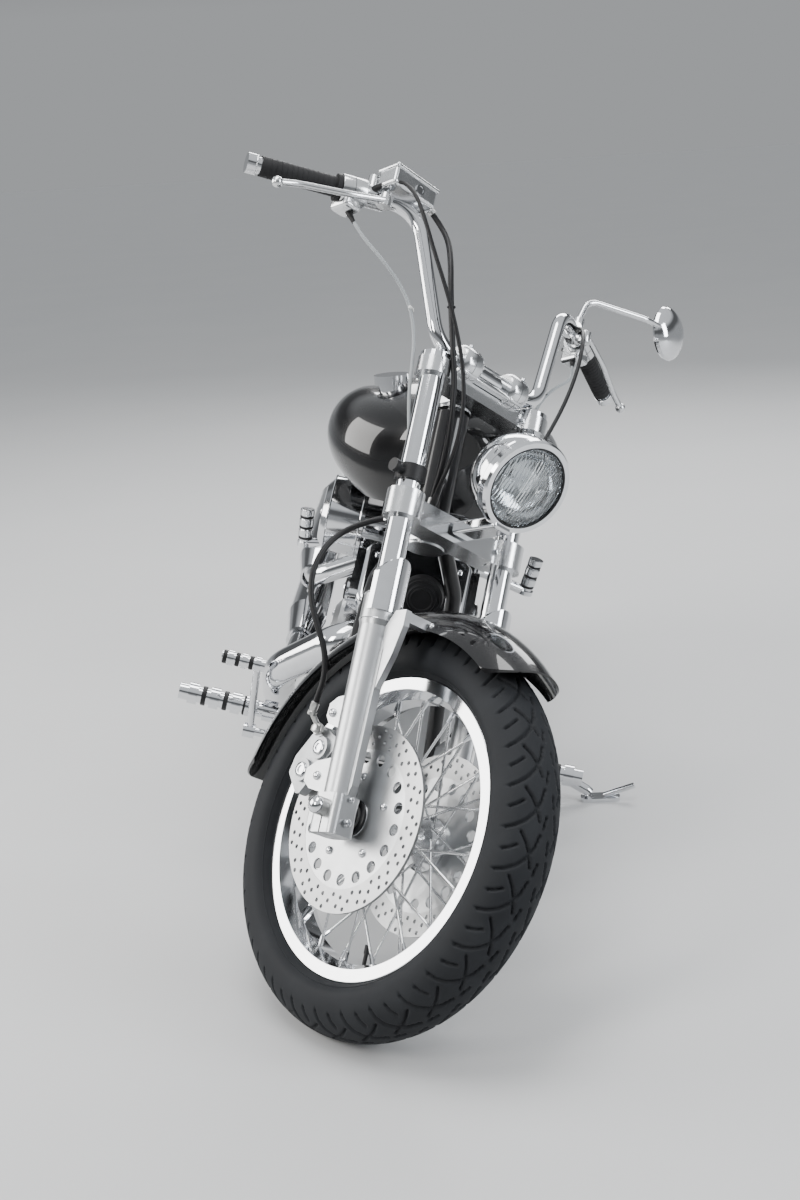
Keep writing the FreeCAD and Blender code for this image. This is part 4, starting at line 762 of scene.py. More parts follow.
# Wheels.
@dataclass(frozen=True)
class Tyre:
    """A tyre with carved tread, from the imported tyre's section, about its own axle."""

    radius: float
    half: float
    bead: float
    rim_half: float
    shoulder: float
    pitches: int
    around: int
    across: int
    groove: float
    depth: float
    scale: float

    def section(self) -> list[tuple[float, float, float]]:
        """The section from bead to bead.

        Returns:
            Rows of place along the axle, radius, and arc from the crown's middle, in mm.
        """
        mid = self.radius - self.half
        inner = self.rim_half - 8
        side = [(inner, self.bead, 0), (inner, self.bead + 15, 0), (self.rim_half + 2, self.bead + 17.6, 0),
                (self.half - self.shoulder - 7, mid - 17.5, 0), (self.half - self.shoulder - 1.5, mid - 12, 0),
                (self.half - 0.6, mid - 6, 0)]
        edge = math.radians(68)
        steps = 5
        turns = [math.pi / 2 - (math.pi / 2 - edge) * i / steps for i in range(steps)]
        crown = [edge - 2 * edge * i / self.across for i in range(self.across + 1)]
        arc = turns + crown + [-a for a in reversed(turns)]
        rows = side + [(self.half * math.sin(a), mid + self.half * math.cos(a), a * self.half) for a in arc]
        rows += [(-x, r, 0) for x, r, _ in reversed(side)]
        return rows + [rows[0]]

    def grooves(self, pitch: float) -> list[tuple]:
        """Runs of groove in one pitch: ends as across and along, and width, for both sides."""
        s = self.scale
        runs = [
            ((66, 0.02), (52, 0.10), 1.0), ((52, 0.10), (38, 0.24), 1.0), ((38, 0.24), (26, 0.44), 1.0),
            ((26, 0.44), (17, 0.70), 1.0), ((17, 0.70), (12, 0.98), 0.9),
            ((42, 0.98), (31, 0.76), 0.9), ((31, 0.76), (22, 0.50), 0.9), ((22, 0.50), (16, 0.26), 0.8),
            ((64, 0.52), (54, 0.58), 0.9), ((54, 0.58), (44, 0.68), 0.8), ((8, 0.14), (5, 0.40), 0.8),
        ]
        return [((side * a * s, (t + shift) * pitch), (side * b * s, (u + shift) * pitch), w * self.groove)
                for side, shift in ((1, 0.0), (-1, 0.5)) for (a, t), (b, u), w in runs]

    def sink(self, across: float, along: float, runs: list, pitch: float) -> float:
        """How deep the tread is cut at a place, in mm."""
        best = 0.0
        for (a0, b0), (a1, b1), width in runs:
            if abs(across - (a0 + a1) / 2) > abs(a0 - a1) / 2 + width:
                continue
            da, db = a1 - a0, b1 - b0
            for lap in (-pitch, 0.0, pitch):
                pa, pb = across - a0, along + lap - b0
                t = min(1.0, max(0.0, (pa * da + pb * db) / (da * da + db * db)))
                gap = math.hypot(pa - t * da, pb - t * db)
                wall = (width / 2 + 0.7 - gap) / 1.4
                best = max(best, min(1.0, wall))
        return best * self.depth

    def build(self, node: str, bench: Bench) -> None:
        """Carves one pitch of a grid and spins it round."""
        form = Form(bench)
        rows = self.section()
        cells = self.around // self.pitches
        arc = 2 * math.pi / self.pitches
        pitch = arc * self.radius
        runs = self.grooves(pitch)
        count = len(rows) - 1
        made = bmesh.ops.create_grid(form.bm, x_segments=count, y_segments=cells, size=0.5)
        for vert in made["verts"]:
            i = round((vert.co.x + 0.5) * count)
            t = vert.co.y + 0.5
            x, r, across = rows[i]
            cut = self.sink(across, t * pitch, runs, pitch) if across else 0.0
            if cut:
                out = math.asin(max(-1.0, min(1.0, x / self.half)))
                x, r = x - cut * math.sin(out), r - cut * math.cos(out)
            a = t * arc
            vert.co = (x, r * math.sin(a), r * math.cos(a))
        bmesh.ops.spin(form.bm, geom=[*form.bm.verts, *form.bm.edges, *form.bm.faces], cent=(0, 0, 0),
                       axis=(-1, 0, 0), angle=2 * math.pi, steps=self.pitches, use_duplicate=True)
        form.done(node + "_carved", TYRE_RUBBER, (node,), crease=60.0)
        walls = Form(bench)
        mid = self.radius - self.half
        for side in (-1, 1):
            for r in (self.bead + 24.0, mid - 9.0):
                place = self.half - self.shoulder - (6.5 if r < mid - 12 else 0.6)
                walls.ring(Vector((side * (place - 0.4), 0, 0)), X, r, 0.9, 160, 6)
        walls.done(node + "_ribs", TYRE_RUBBER)


@dataclass(frozen=True)
class DrilledDisc:
    """A brake disc: ground outer ring with small holes, satin carrier with large ones."""

    node: str
    # Each disc: its middle along the axle, and the side that faces out.
    places: tuple
    radius: float
    inner: float
    # Radius of the carrier's ring of holes, and the holes' own radius and number.
    ring: float
    large: float
    count: int
    thick: float = 5.0

    def plate(self, form: Form, x: float, outer: float, inner: float, holes: list, thick: float) -> None:
        """A flat ring with round holes.

        Args:
            form: where it is made.
            x: middle along the axle.
            outer: outside radius.
            inner: inside radius.
            holes: rows of radius, angle in degrees and hole radius.
            thick: thickness.
        """
        side = Matrix.Rotation(math.pi / 2, 4, "Y")
        edges = []
        rims = [(0.0, 0.0, outer, 120), (0.0, 0.0, inner, 72)]
        for r, angle, size, steps in rims + [(*hole, 20 if hole[2] > 5 else 10) for hole in holes]:
            a = math.radians(angle)
            spot = Matrix.Translation((x - thick / 2, r * math.cos(a), r * math.sin(a)))
            made = bmesh.ops.create_circle(form.bm, segments=steps, radius=size, matrix=spot @ side)
            edges += list({e for v in made["verts"] for e in v.link_edges})
        filled = bmesh.ops.triangle_fill(form.bm, edges=edges, use_beauty=True, normal=(1, 0, 0))
        faces = [g for g in filled["geom"] if isinstance(g, bmesh.types.BMFace)]
        out = bmesh.ops.extrude_face_region(form.bm, geom=faces, use_keep_orig=True)
        verts = [g for g in out["geom"] if isinstance(g, bmesh.types.BMVert)]
        bmesh.ops.translate(form.bm, vec=(thick, 0, 0), verts=verts)

    def build(self, bench: Bench, finish: Finish) -> None:
        """Rotor and carrier of each disc, with bolts on its outer face."""
        rotor, carrier, bolts = Form(bench), Form(bench), Form(bench)
        step = 360.0 / self.count
        band = self.radius * 0.76
        width = self.radius - band
        small = []
        for i in range(self.count):
            for part, turn in ((0.18, -0.30), (0.50, -0.08), (0.82, 0.14), (0.30, 0.30), (0.68, 0.46)):
                small.append((band + width * part, (i + turn) * step, 3.5))
        large = [(self.ring, (i + 0.5) * step, self.large) for i in range(self.count)]
        for x, out in self.places:
            self.plate(rotor, x, self.radius, band - 2.0, small, self.thick)
            self.plate(carrier, x, band - 2.0, self.inner, large, self.thick - 0.8)
            for i in range(5):
                a = math.radians(72 * i + 20)
                face = x + out * (self.thick - 0.8) / 2
                spot = Vector((face, self.ring * 0.68 * math.cos(a), self.ring * 0.68 * math.sin(a)))
                bolts.bolt(spot, X * out, 6.5, BoltHead.DOME)
        rotor.done(self.node + "_rotor", finish, (self.node,), crease=30)
        carrier.done(self.node + "_carrier", SATIN_ALLOY, crease=30)
        bolts.done(self.node + "_bolts", CHROME)


@dataclass(frozen=True)
class SpokeEnds:
    """Nipples of the laced spokes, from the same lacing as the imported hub."""

    rim_radius: float
    hub_radius: float
    flange: float
    rim_x: float
    swing: float
    spokes: int = 40

    def build(self, name: str, bench: Bench) -> None:
        """A nipple on each spoke."""
        form = Form(bench)
        for i in range(self.spokes):
            side = 1 if i % 2 == 0 else -1
            lean = 1 if (i // 2) % 2 == 0 else -1
            a = math.radians(360.0 * i / self.spokes)
            b = a + math.radians(lean * self.swing)
            p = Vector((side * (self.flange + lean * 2.4), self.hub_radius * math.cos(b),
                        self.hub_radius * math.sin(b)))
            q = Vector((side * self.rim_x, self.rim_radius * math.cos(a), self.rim_radius * math.sin(a)))
            way = (q - p).normalized()
            form.lathe([(0, 0), (0, 3.0), (12, 3.6), (17, 3.6), (17, 0)], q - way * 26, way, 8)
        form.done(name, CHROME)


@dataclass(frozen=True)
class Wheel:
    """A laced wheel's looks."""

    name: str
    bench: Bench
    tyre: Tyre
    disc: DrilledDisc
    ends: SpokeEnds
    valve_radius: float

    def build(self) -> None:
        """Tyre, discs, spoke ends and valve."""
        self.tyre.build(self.name + "_tyre", self.bench)
        turn = self.bench.turn.to_euler()
        ground = BrushedDisc(self.name + "_disc_steel", tuple(self.bench.origin), tuple(turn))
        self.disc.build(self.bench, ground)
        self.ends.build(self.name + "_nipples", self.bench)
        valve = Form(self.bench)
        root = Vector((0, 0, -self.valve_radius))
        valve.rod(root, root + Z * 26, 3.4)
        valve.rod(root + Z * 20, root + Z * 34, 4.6)
        valve.done(self.name + "_valve", SEAL_RUBBER)


FRONT_WHEEL = Wheel(
    "front", FRONT,
    Tyre(327.5, 57.5, 228.6, 38.0, 2.0, pitches=30, around=1080, across=64, groove=4.6, depth=4.5, scale=1.0),
    DrilledDisc("front_discs", ((-80.5, -1), (80.5, 1)), 149.0, 29.0, 96.85, 9.5, 18),
    SpokeEnds(220.6, 35.0, 54.5, 9.0, 62.0), 213.0)
REAR_WHEEL = Wheel(
    "rear", REAR,
    Tyre(326.5, 85.0, 190.5, 60.0, 3.0, pitches=28, around=840, across=72, groove=5.5, depth=5.0, scale=1.45),
    DrilledDisc("rear_disc", ((-72.0, -1),), 141.0, 36.0, 95.9, 9.0, 12),
    SpokeEnds(182.5, 50.0, 55.0, 16.0, 54.0), 175.0)


# Fork.
@dataclass(frozen=True)
class Fork:
    """Seals and bolts of the fork legs, clamps, calipers and axle."""

    seal: float = 27.0
    dust_ring: float = 29.5
    clamps: tuple = ((LOWER_CLAMP_Z, 45.0), (UPPER_CLAMP_Z, 28.0))
    caliper_bolts: tuple = ((48.0, 156.0), (52.0, 54.0))
    pistons: tuple = ((84.6, 105.4), (116.1, 69.1))
    pinch_bolts: tuple = ((-30.0, -18.0, 6.0), (-28.0, 18.0, 4.5))
    fender_bolt: tuple = (70.0, -71.0, SLIDER_TOP - 37.0)
    axle_head: float = -160.0
    axle_nut: float = 148.0

    def seals(self) -> None:
        """Wiper seals on the sliders, and the hub's dust rings."""
        form = Form(FORK)
        for side in (-1, 1):
            at = Vector((side * FORK_HALF, 0, SLIDER_TOP))
            form.lathe([(-1, 20.6), (-1, self.seal + 1), (5, self.seal), (8, 22), (9, 20.6)], at, Z, 48)
            form.lathe([(0, 22.2), (0, self.dust_ring), (4.5, self.dust_ring), (6, 27), (6, 22.2)],
                       Vector((side * 90.5, 0, 0)) - X * side * 6.5, X * side, 40)
        form.done("fork_seals", SEAL_RUBBER)
        lips = Form(FORK)
        for side in (-1, 1):
            lips.ring(Vector((side * FORK_HALF, 0, SLIDER_TOP - 2)), Z, SLIDER_RADIUS + 0.6, 1.5, 48)
            lips.ring(Vector((side * FORK_HALF, 0, SLIDER_TOP - 44)), Z, SLIDER_RADIUS + 0.9, 1.1, 48)
        lips.done("slider_lips", CHROME)

    def bolts(self) -> None:
        """Clamp bolts, caps, axle head, pinch and caliper bolts."""
        form = Form(FORK)
        for side in (-1, 1):
            x = side * FORK_HALF
            for y, z, radius in self.pinch_bolts:
                form.bolt(Vector((x, y, z)), -Y, radius)
            for y, z in self.caliper_bolts:
                form.bolt(Vector((x + side * (4 if side > 0 else 10), y, z)), X * side, 7.0, BoltHead.DOME)
            form.bolt(mirrored(Vector(self.fender_bolt), side), -Y, 5.5, BoltHead.DOME)
            for low, height in self.clamps:
                form.bolt(Vector((x - side * 26, -9, low + height / 2)), -Y, 6.5)
            form.lathe([(0, 0), (0, 11), (4, 11), (6, 8), (6, 0)], Vector((x, 0, FORK_TOP + 16)), Z, 6)
            for y, z in self.pistons:
                form.lathe([(-0.5, 0), (-0.5, 12.5), (1.8, 12.5), (2.8, 11.2), (2.8, 6.5), (0.8, 6), (0.8, 0)],
                           Vector((side * 113.5, y, z)), X * side, 40)
        form.bolt(X * self.axle_head, -X, 14.0, BoltHead.DOME)
        form.bolt(X * self.axle_nut, X, 12.0, BoltHead.HEX)
        form.done("fork_bolts", CHROME)

    def build(self) -> None:
        """All of the fork's fittings."""
        self.seals()
        self.bolts()


# Handlebar and its controls.
@dataclass(frozen=True)
class Bars:
    """Fittings of the bar, its controls, clamps and hoses, and the one mirror."""

    reservoir: tuple = (-228.0, 40.0, 1043.7)
    grip_inner: float = 318.0
    grip_outer: float = 452.0
    grip_ribs: int = 13
    rib_step: float = 8.2
    riser_half: float = 57.0
    pod: float = 298.0
    pivot: tuple = (260.0, -30.0, -16.0)
    banjo: tuple = (-117.0, 91.0, 134.0)
    tie: tuple = (170.5, 31.0, 845.0)
    mirror: tuple = (478.0, 54.0, 1124.0)
    mirror_turn: float = 12.0

    def grip_rings(self) -> None:
        """Ribs on the grips and a chrome ring at their inner ends."""
        ribs, rings = Form(FORK), Form(FORK)
        for side in (-1, 1):
            axis = mirrored(BAR_RUN.normalized(), side)
            for i in range(self.grip_ribs):
                place = self.grip_inner + 13 + i * self.rib_step
                ribs.ring(along_grip(side * place), axis, 17.0, 0.6, 32, 6)
            rings.lathe([(0, 13), (0, 20.5), (3, 22), (5, 20.5), (5, 13)],
                        along_grip(side * (self.grip_inner - 6)), axis, 40)
            rings.ring(along_grip(side * self.grip_outer), axis, 16.6, 0.9, 32, 8)
        ribs.done("grip_ribs", GRIP_RUBBER)
        rings.done("grip_rings", CHROME)

    def switches(self) -> None:
        """Switch blocks, buttons and pivot screws."""
        black, red, bright = Form(FORK), Form(FORK), Form(FORK)
        for side in (-1, 1):
            face = along_grip(side * self.pod, 31, -14)
            for i, (dx, dz) in enumerate(((-9, 8), (7, 9), (-1, -7))):
                target = red if (side < 0 and i == 0) else black
                target.block(face + Vector((dx, 0, dz)), (10, 6, 7), soften=1.5)
            black.ring(along_grip(side * self.pod), mirrored(BAR_RUN, side), 24.8, 0.6, 40, 6)
            x, back, up = self.pivot
            bright.bolt(along_grip(side * x, back, up + 12), Z, 6.0, BoltHead.DOME)
            bright.bolt(along_grip(side * x, 19.5), Y, 4.5)
        r = Vector(self.reservoir)
        for dx in (-42, 42):
            for dy in (-19, 19):
                bright.bolt(r + Vector((dx, dy, 20.5)), Z, 3.2)
        bright.lathe([(0, 0), (0, 9), (2.5, 9), (2.5, 6.5), (1.5, 6.5), (1.5, 0)], r + Vector((8, -23, -2)),
                     -Y, 24)
        bright.lathe([(0, 5.2), (0, 8), (12, 8), (14, 6), (14, 5.2)], r + Vector((46, 1, -2)),
                     Vector((26, -9, -20)), 20)
        black.done("switch_buttons", BLACK_PLASTIC)
        red.done("stop_switch", RED_PLASTIC)
        bright.done("control_screws", CHROME)

    def ties(self) -> None:
        """White tie and black clips that hold the leads by the bar."""
        white, black = Form(FORK), Form(FORK)
        left = Vector(self.tie)
        right = mirrored(left, -1)
        white.ring(right, Vector((32, 6, 46)), 4.2, 1.3, 20, 6)
        white.block(right + Vector((-5.5, -3, 1)), (5, 4, 5), soften=0.8)
        black.ring(left, Vector((-32, 6, 46)), 4.0, 1.1, 20, 6)
        black.ring(Vector((-136.5, -29, 853)), Vector((9, -4, -50)), 6.2, 1.2, 24, 6)
        white.done("lead_tie", WHITE_PLASTIC)
        black.done("lead_clips", BLACK_PLASTIC)

    def risers(self) -> None:
        """Two barrel clamps round the bar, joined by a lower and an upper bridge."""
        clamps, seams, bolts = Form(FORK), Form(FORK), Form(FORK)
        for side in (-1, 1):
            x = side * self.riser_half
            clamps.lathe([(-22, 12.9), (-22, 25), (-18, 29), (-12, 31), (12, 31), (18, 29), (22, 25),
                          (22, 12.9)], Vector((x, 0, BAR_Z)), X, 48)
            clamps.block(Vector((x, 0, FORK_TOP + 5)), (34, 46, 12), soften=4.0)
            seams.ring(Vector((x, 0, BAR_Z)), X, 30.9, 0.5, 48, 6)
            for y in (-16, 16):
                bolts.bolt(Vector((x + side * 9, y, BAR_Z + 25)), Z, 4.6)
        span = 2 * self.riser_half - 30
        clamps.block(Vector((0, 13, BAR_Z + 20)), (span, 20, 9), soften=3.5)
        clamps.block(Vector((0, 0, FORK_TOP + 4)), (span, 40, 9), soften=3.0)
        clamps.done("riser_clamps", POLISHED, ("risers",))
        seams.done("riser_seams", SEAL_RUBBER)
        bolts.done("riser_bolts", CHROME)

    def fittings(self) -> None:
        """Crimped sleeves and the caliper's banjo on the hoses, tapered boots on the cables and leads."""
        metal, rubber = Form(FORK), Form(FORK)
        for route in ROUTES:
            r = route.diameter / 2
            for end, near in ((route.points[0], route.points[1]), (route.points[-1], route.points[-2])):
                way = (Vector(near) - Vector(end)).normalized()
                if route.diameter > 9:
                    metal.lathe([(-1, r - 0.5), (-1, r + 2.6), (5, r + 2.6), (6, r + 1.2), (8, r + 1.2),
                                 (9, r + 1.8), (20, r + 1.6), (21, r - 0.5)], Vector(end), way, 24)
                else:
                    rubber.lathe([(-1, r - 0.5), (-1, r + 2.4), (9, r + 2.2), (12, r + 1.5), (24, r + 0.5),
                                  (24, r - 0.5)], Vector(end), way, 20)
        hose_end = next(Vector(r.points[-1]) for r in ROUTES if r.node == "right_hose")
        eye = Vector(self.banjo)
        metal.rod(hose_end + Z * 2, eye + Vector((-1, 1, 4)), 4.6)
        metal.rod(eye - X * 5, eye + X * 12, 6.0, 20)
        metal.ring(eye, X, 7.5, 3.2, 32, 8)
        metal.bolt(eye - X * 4.5, -X, 7.5, BoltHead.HEX)
        metal.done("hose_sleeves", ZINC)
        rubber.done("cable_boots", SEAL_RUBBER)

    def pods(self) -> None:
        """The right switch pod, and the left lever's perch with the mirror's boss."""
        form = Form(FORK)
        form.rod(along_grip(-278), along_grip(-317), 25.0, 40)
        form.rod(along_grip(246), along_grip(274), 19.7, 40)
        pivot = along_grip(*self.pivot)
        form.rod(along_grip(self.pivot[0]), pivot, 11.0, 28)
        form.rod(pivot - Z * 10, pivot + Z * 12, 12.0, 28)
        form.rod(along_grip(268, -2, 4), along_grip(268, -2, 36), 11.0, 28)
        form.soften(1.2)
        form.block(along_grip(-self.pod, 8, -16), (36, 44, 40), soften=7.0)
        form.done("bar_pods", POLISHED)

    def mirror_glass(self) -> None:
        """Silvered glass on the mirror's back."""
        form = Form(FORK)
        axis = Matrix.Rotation(math.radians(self.mirror_turn), 3, "Z") @ Y
        glass = [(-0.5, 0), (-0.5, 47.5), (0.5, 47.5), (0.9, 46.5), (0.9, 0)]
        form.lathe(glass, Vector(self.mirror), axis, 64)
        form.done("mirror_glass", SILVER_MIRROR)

    def build(self) -> None:
        """All of the bar's fittings."""
        self.grip_rings()
        self.switches()
        self.ties()
        self.risers()
        self.fittings()
        self.pods()
        self.mirror_glass()


# Headlamp.
@dataclass(frozen=True)
class Headlamp:
    """Chrome bucket, fluted glass, bulb and its shield."""

    radius: float = 81.0
    ahead: float = 150.0
    rise: float = 37.0
    rake: float = 33.0
    flute: float = 6.4
    band: float = 23.0
    lip: float = 12.4

    def bench(self) -> Bench:
        """The lamp's own frame, level with the ground when the bike stands straight."""
        tip = Matrix.Rotation(math.radians(self.rake), 3, "X")
        return Bench(FORK.at(0, -self.ahead, HEAD_Z + self.rise), FORK.turn @ tip, FORK.body)

    def glass(self, bench: Bench) -> None:
        """Domed glass, its inside fluted."""
        form = Form(bench)
        r = self.radius - self.lip
        bmesh.ops.create_grid(form.bm, x_segments=88, y_segments=44, size=r)
        outside = [v for v in form.bm.verts if math.hypot(v.co.x, v.co.y) > r * 1.02]
        bmesh.ops.delete(form.bm, geom=outside, context="VERTS")
        back = bmesh.ops.extrude_face_region(form.bm, geom=list(form.bm.faces), use_keep_orig=True)
        inner = {g for g in back["geom"] if isinstance(g, bmesh.types.BMVert)}
        for vert in form.bm.verts:
            x, z = vert.co.x, vert.co.y
            reach = math.hypot(x, z)
            if reach > r * 0.985:
                x, z = x * r / reach, z * r / reach
                reach = r
            dome = 8.0 * (1 - (reach / r) ** 2)
            y = 3.0 - dome
            if vert in inner:
                wave = 0.5 + 0.5 * math.cos(2 * math.pi * x / self.flute)
                band = 0.5 + 0.5 * math.cos(2 * math.pi * z / self.band)
                y += 3.6 - (1.2 * wave + 0.5 * band) * min(1.0, (r - reach) / 4)
            vert.co = (x, y, z)
        form.done("headlamp_glass", LAMP_GLASS, ("headlamp_lens",))

    def bulb(self, bench: Bench) -> None:
        """Bulb, shield cup and the reflector's rings."""
        shield, tube = Form(bench), Form(bench)
        shield.lathe([(16, 0), (16, 9), (17, 12), (30, 13), (30, 12), (18, 10), (17.2, 0)], Vector(), Y, 32)
        for x in (-1, 1):
            shield.rod(Vector((x * 12.4, 28, 0)), Vector((x * 17, 55, 0)), 1.1, 8)
        shield.ring(Vector((0, 10, 0)), Y, self.radius - self.lip, 1.3, 72, 8)
        shield.done("bulb_shield", CHROME)
        tube.lathe([(24, 0), (25, 4), (30, 6), (48, 6), (56, 4), (57, 0)], Vector(), Y, 20)
        tube.done("bulb", CLEAR_GLASS)

    def rim(self, bench: Bench) -> None:
        """Joint line of the ring, its clamp screw and the side bolts."""
        dark, bright = Form(bench), Form(bench)
        dark.ring(Vector((0, 21, 0)), Y, self.radius - 4.6, 0.9, 80, 8)
        dark.ring(Vector((0, 1.5, 0)), Y, self.radius - 12.6, 1.5, 80, 8)
        dark.done("lamp_joint", SEAL_RUBBER)
        bright.bolt(Vector((0, 11, -self.radius + 0.4)), -Z, 4.0, BoltHead.DOME)
        for side in (-1, 1):
            bright.bolt(Vector((side * (self.radius - 12.5), 52, -2)), X * side, 6.0, BoltHead.DOME)
        bright.done("lamp_screws", CHROME)

    def build(self) -> None:
        """All of the lamp."""
        bench = self.bench()
        self.glass(bench)
        self.bulb(bench)
        self.rim(bench)


# Engine.
@dataclass(frozen=True)
class Engine:
    """Bolts, rings and shields of the engine, air cleaner, horn and exhausts."""

    vee: float = 37.5
    head_z: float = 251.0
    head_half: float = 122.0
    head_bolt: tuple = (78.0, 42.0, 89.0)
    case_half: float = 88.0
    cover_bolts: int = 7
    cover_edge: float = 26.0
    shield: float = 7.5
    air_can: tuple = (-200.0, -64.0, 616.0)
    horn: tuple = (14.0, -477.3, 604.3)
    # Each cover: side, y, z, radius, and how far it stands out.
    covers: tuple = ((-1, 70.0, 305.0, 104.0, 56.0), (-1, -86.0, 298.0, 84.0, 46.0),
                     (1, -62.0, 300.0, 92.0, 48.0), (1, 112.0, 302.0, 84.0, 34.0))
    # Each muffler: mouth, direction, length, and the radii of its neck and shell.
    mufflers: tuple = (((-212, 280, 236), (-12, 730, 26), 730.9, 29.0, 44.0),
                       ((-220, 405, 348), (-12, 695, 20), 695.4, 25.0, 42.0))

    def cover_trim(self) -> None:
        """Bolts round the side covers and a raised ring on each."""
        bolts, rings = Form(BIKE), Form(BIKE)
        for n, (side, y, z, radius, reach) in enumerate(self.covers):
            face = side * (self.case_half + reach)
            for i in range(self.cover_bolts):
                a = math.radians(360 * i / self.cover_bolts + 18 * n)
                r = radius - self.cover_edge
                bolts.bolt(Vector((face, y + r * math.cos(a), z + r * math.sin(a))), X * side, 4.4)
            axis = X * side
            r = radius * 0.5
            rings.lathe([(-0.5, 0), (-0.5, r), (1.5, r), (3, r - 3), (3, r - 8), (1.4, r - 11), (2.4, 0)],
                        Vector((face, y, z)), axis, 56)
        bolts.done("case_bolts", CHROME)
        rings.done("case_medallions", CHROME)

    def head_bolts(self) -> None:
        """The covers' large bolts in black rings."""
        bright, black = Form(BIKE), Form(BIKE)
        for tilt in (self.vee, -self.vee):
            turn = Matrix.Rotation(math.radians(tilt), 3, "X")
            for side in (-1, 1):
                at = CRANK + turn @ Vector((side * self.head_half, 0, self.head_z + 22))
                black.lathe([(-0.5, 11), (-0.5, 21), (2.5, 21), (4, 18), (4, 11)], at, X * side, 40)
                bright.lathe([(-0.5, 0), (-0.5, 11), (4, 11), (6, 9), (6, 5), (2.5, 4.5), (2.5, 0)], at,
                             X * side, 32)
            x, y, z = self.head_bolt
            for side, back in ((-1, -y), (-1, y), (1, -y), (1, y)):
                bright.bolt(CRANK + turn @ Vector((side * x, back, self.head_z + z)), turn @ Z, 5.0)
        bright.done("head_bolts", CHROME)
        black.done("head_bolt_rings", SEAL_RUBBER)

    def air_rings(self) -> None:
        """Groove ring and middle bolt of the air cleaner."""
        at = Vector(self.air_can)
        form = Form(BIKE)
        form.bolt(at, -X, 8.0, BoltHead.DOME)
        form.ring(at + X * 12, X, 74.4, 1.6, 72, 8)
        form.ring(at + X * 74, X, 74.2, 1.4, 72, 8)
        form.lathe([(-0.5, 50), (-0.5, 54), (1.6, 53), (1.6, 51)], at, -X, 64)
        form.done("air_can_rings", CHROME)

    def pipes(self) -> None:
        """Clamp bands and end caps of the mufflers."""
        form = Form(BIKE)
        for start, way, run, neck, shell in self.mufflers:
            at, axis = Vector(start), Vector(way).normalized()
            form.lathe([(-14, neck - 3), (-14, neck + 1.6), (-2, neck + 1.6), (-2, neck - 3)], at, axis, 40)
            form.block(at - axis * 8 - Z * (neck + 5), (10, 10, 12), soften=1.5)
            form.lathe([(-16, shell - 3), (-16, shell - 0.2), (-6, shell + 0.9), (0.8, shell - 2),
                        (0.8, shell - 9), (-5, shell - 10)], at + axis * run, axis, 56)
        form.done("pipe_clamps", CHROME)

    def horn_face(self) -> None:
        """Rings on the horn's face."""
        form = Form(BIKE)
        face = Vector(self.horn)
        form.ring(face + Y * 9, Y, 31, 1.4, 48, 8)
        form.ring(face, Y, 19, 1.2, 40, 8)
        form.done("horn_rings", BLACK_PLASTIC)

    def heat_shield(self) -> None:
        """Wide chrome sleeve round the front header, from the port to its lower bend."""
        form = Form(BIKE)
        port = (Vector((-92, 0, 0)), -X)
        bend = (Vector((0, -60, 300)), Vector((0, -0.8, 0.6)))
        form.cut_from("front_exhaust", (port, bend), self.shield)
        form.done("header_shield", CHROME)

    def build(self) -> None:
        """All of the engine's fittings."""
        self.cover_trim()
        self.head_bolts()
        self.air_rings()
        self.pipes()
        self.horn_face()
        self.heat_shield()


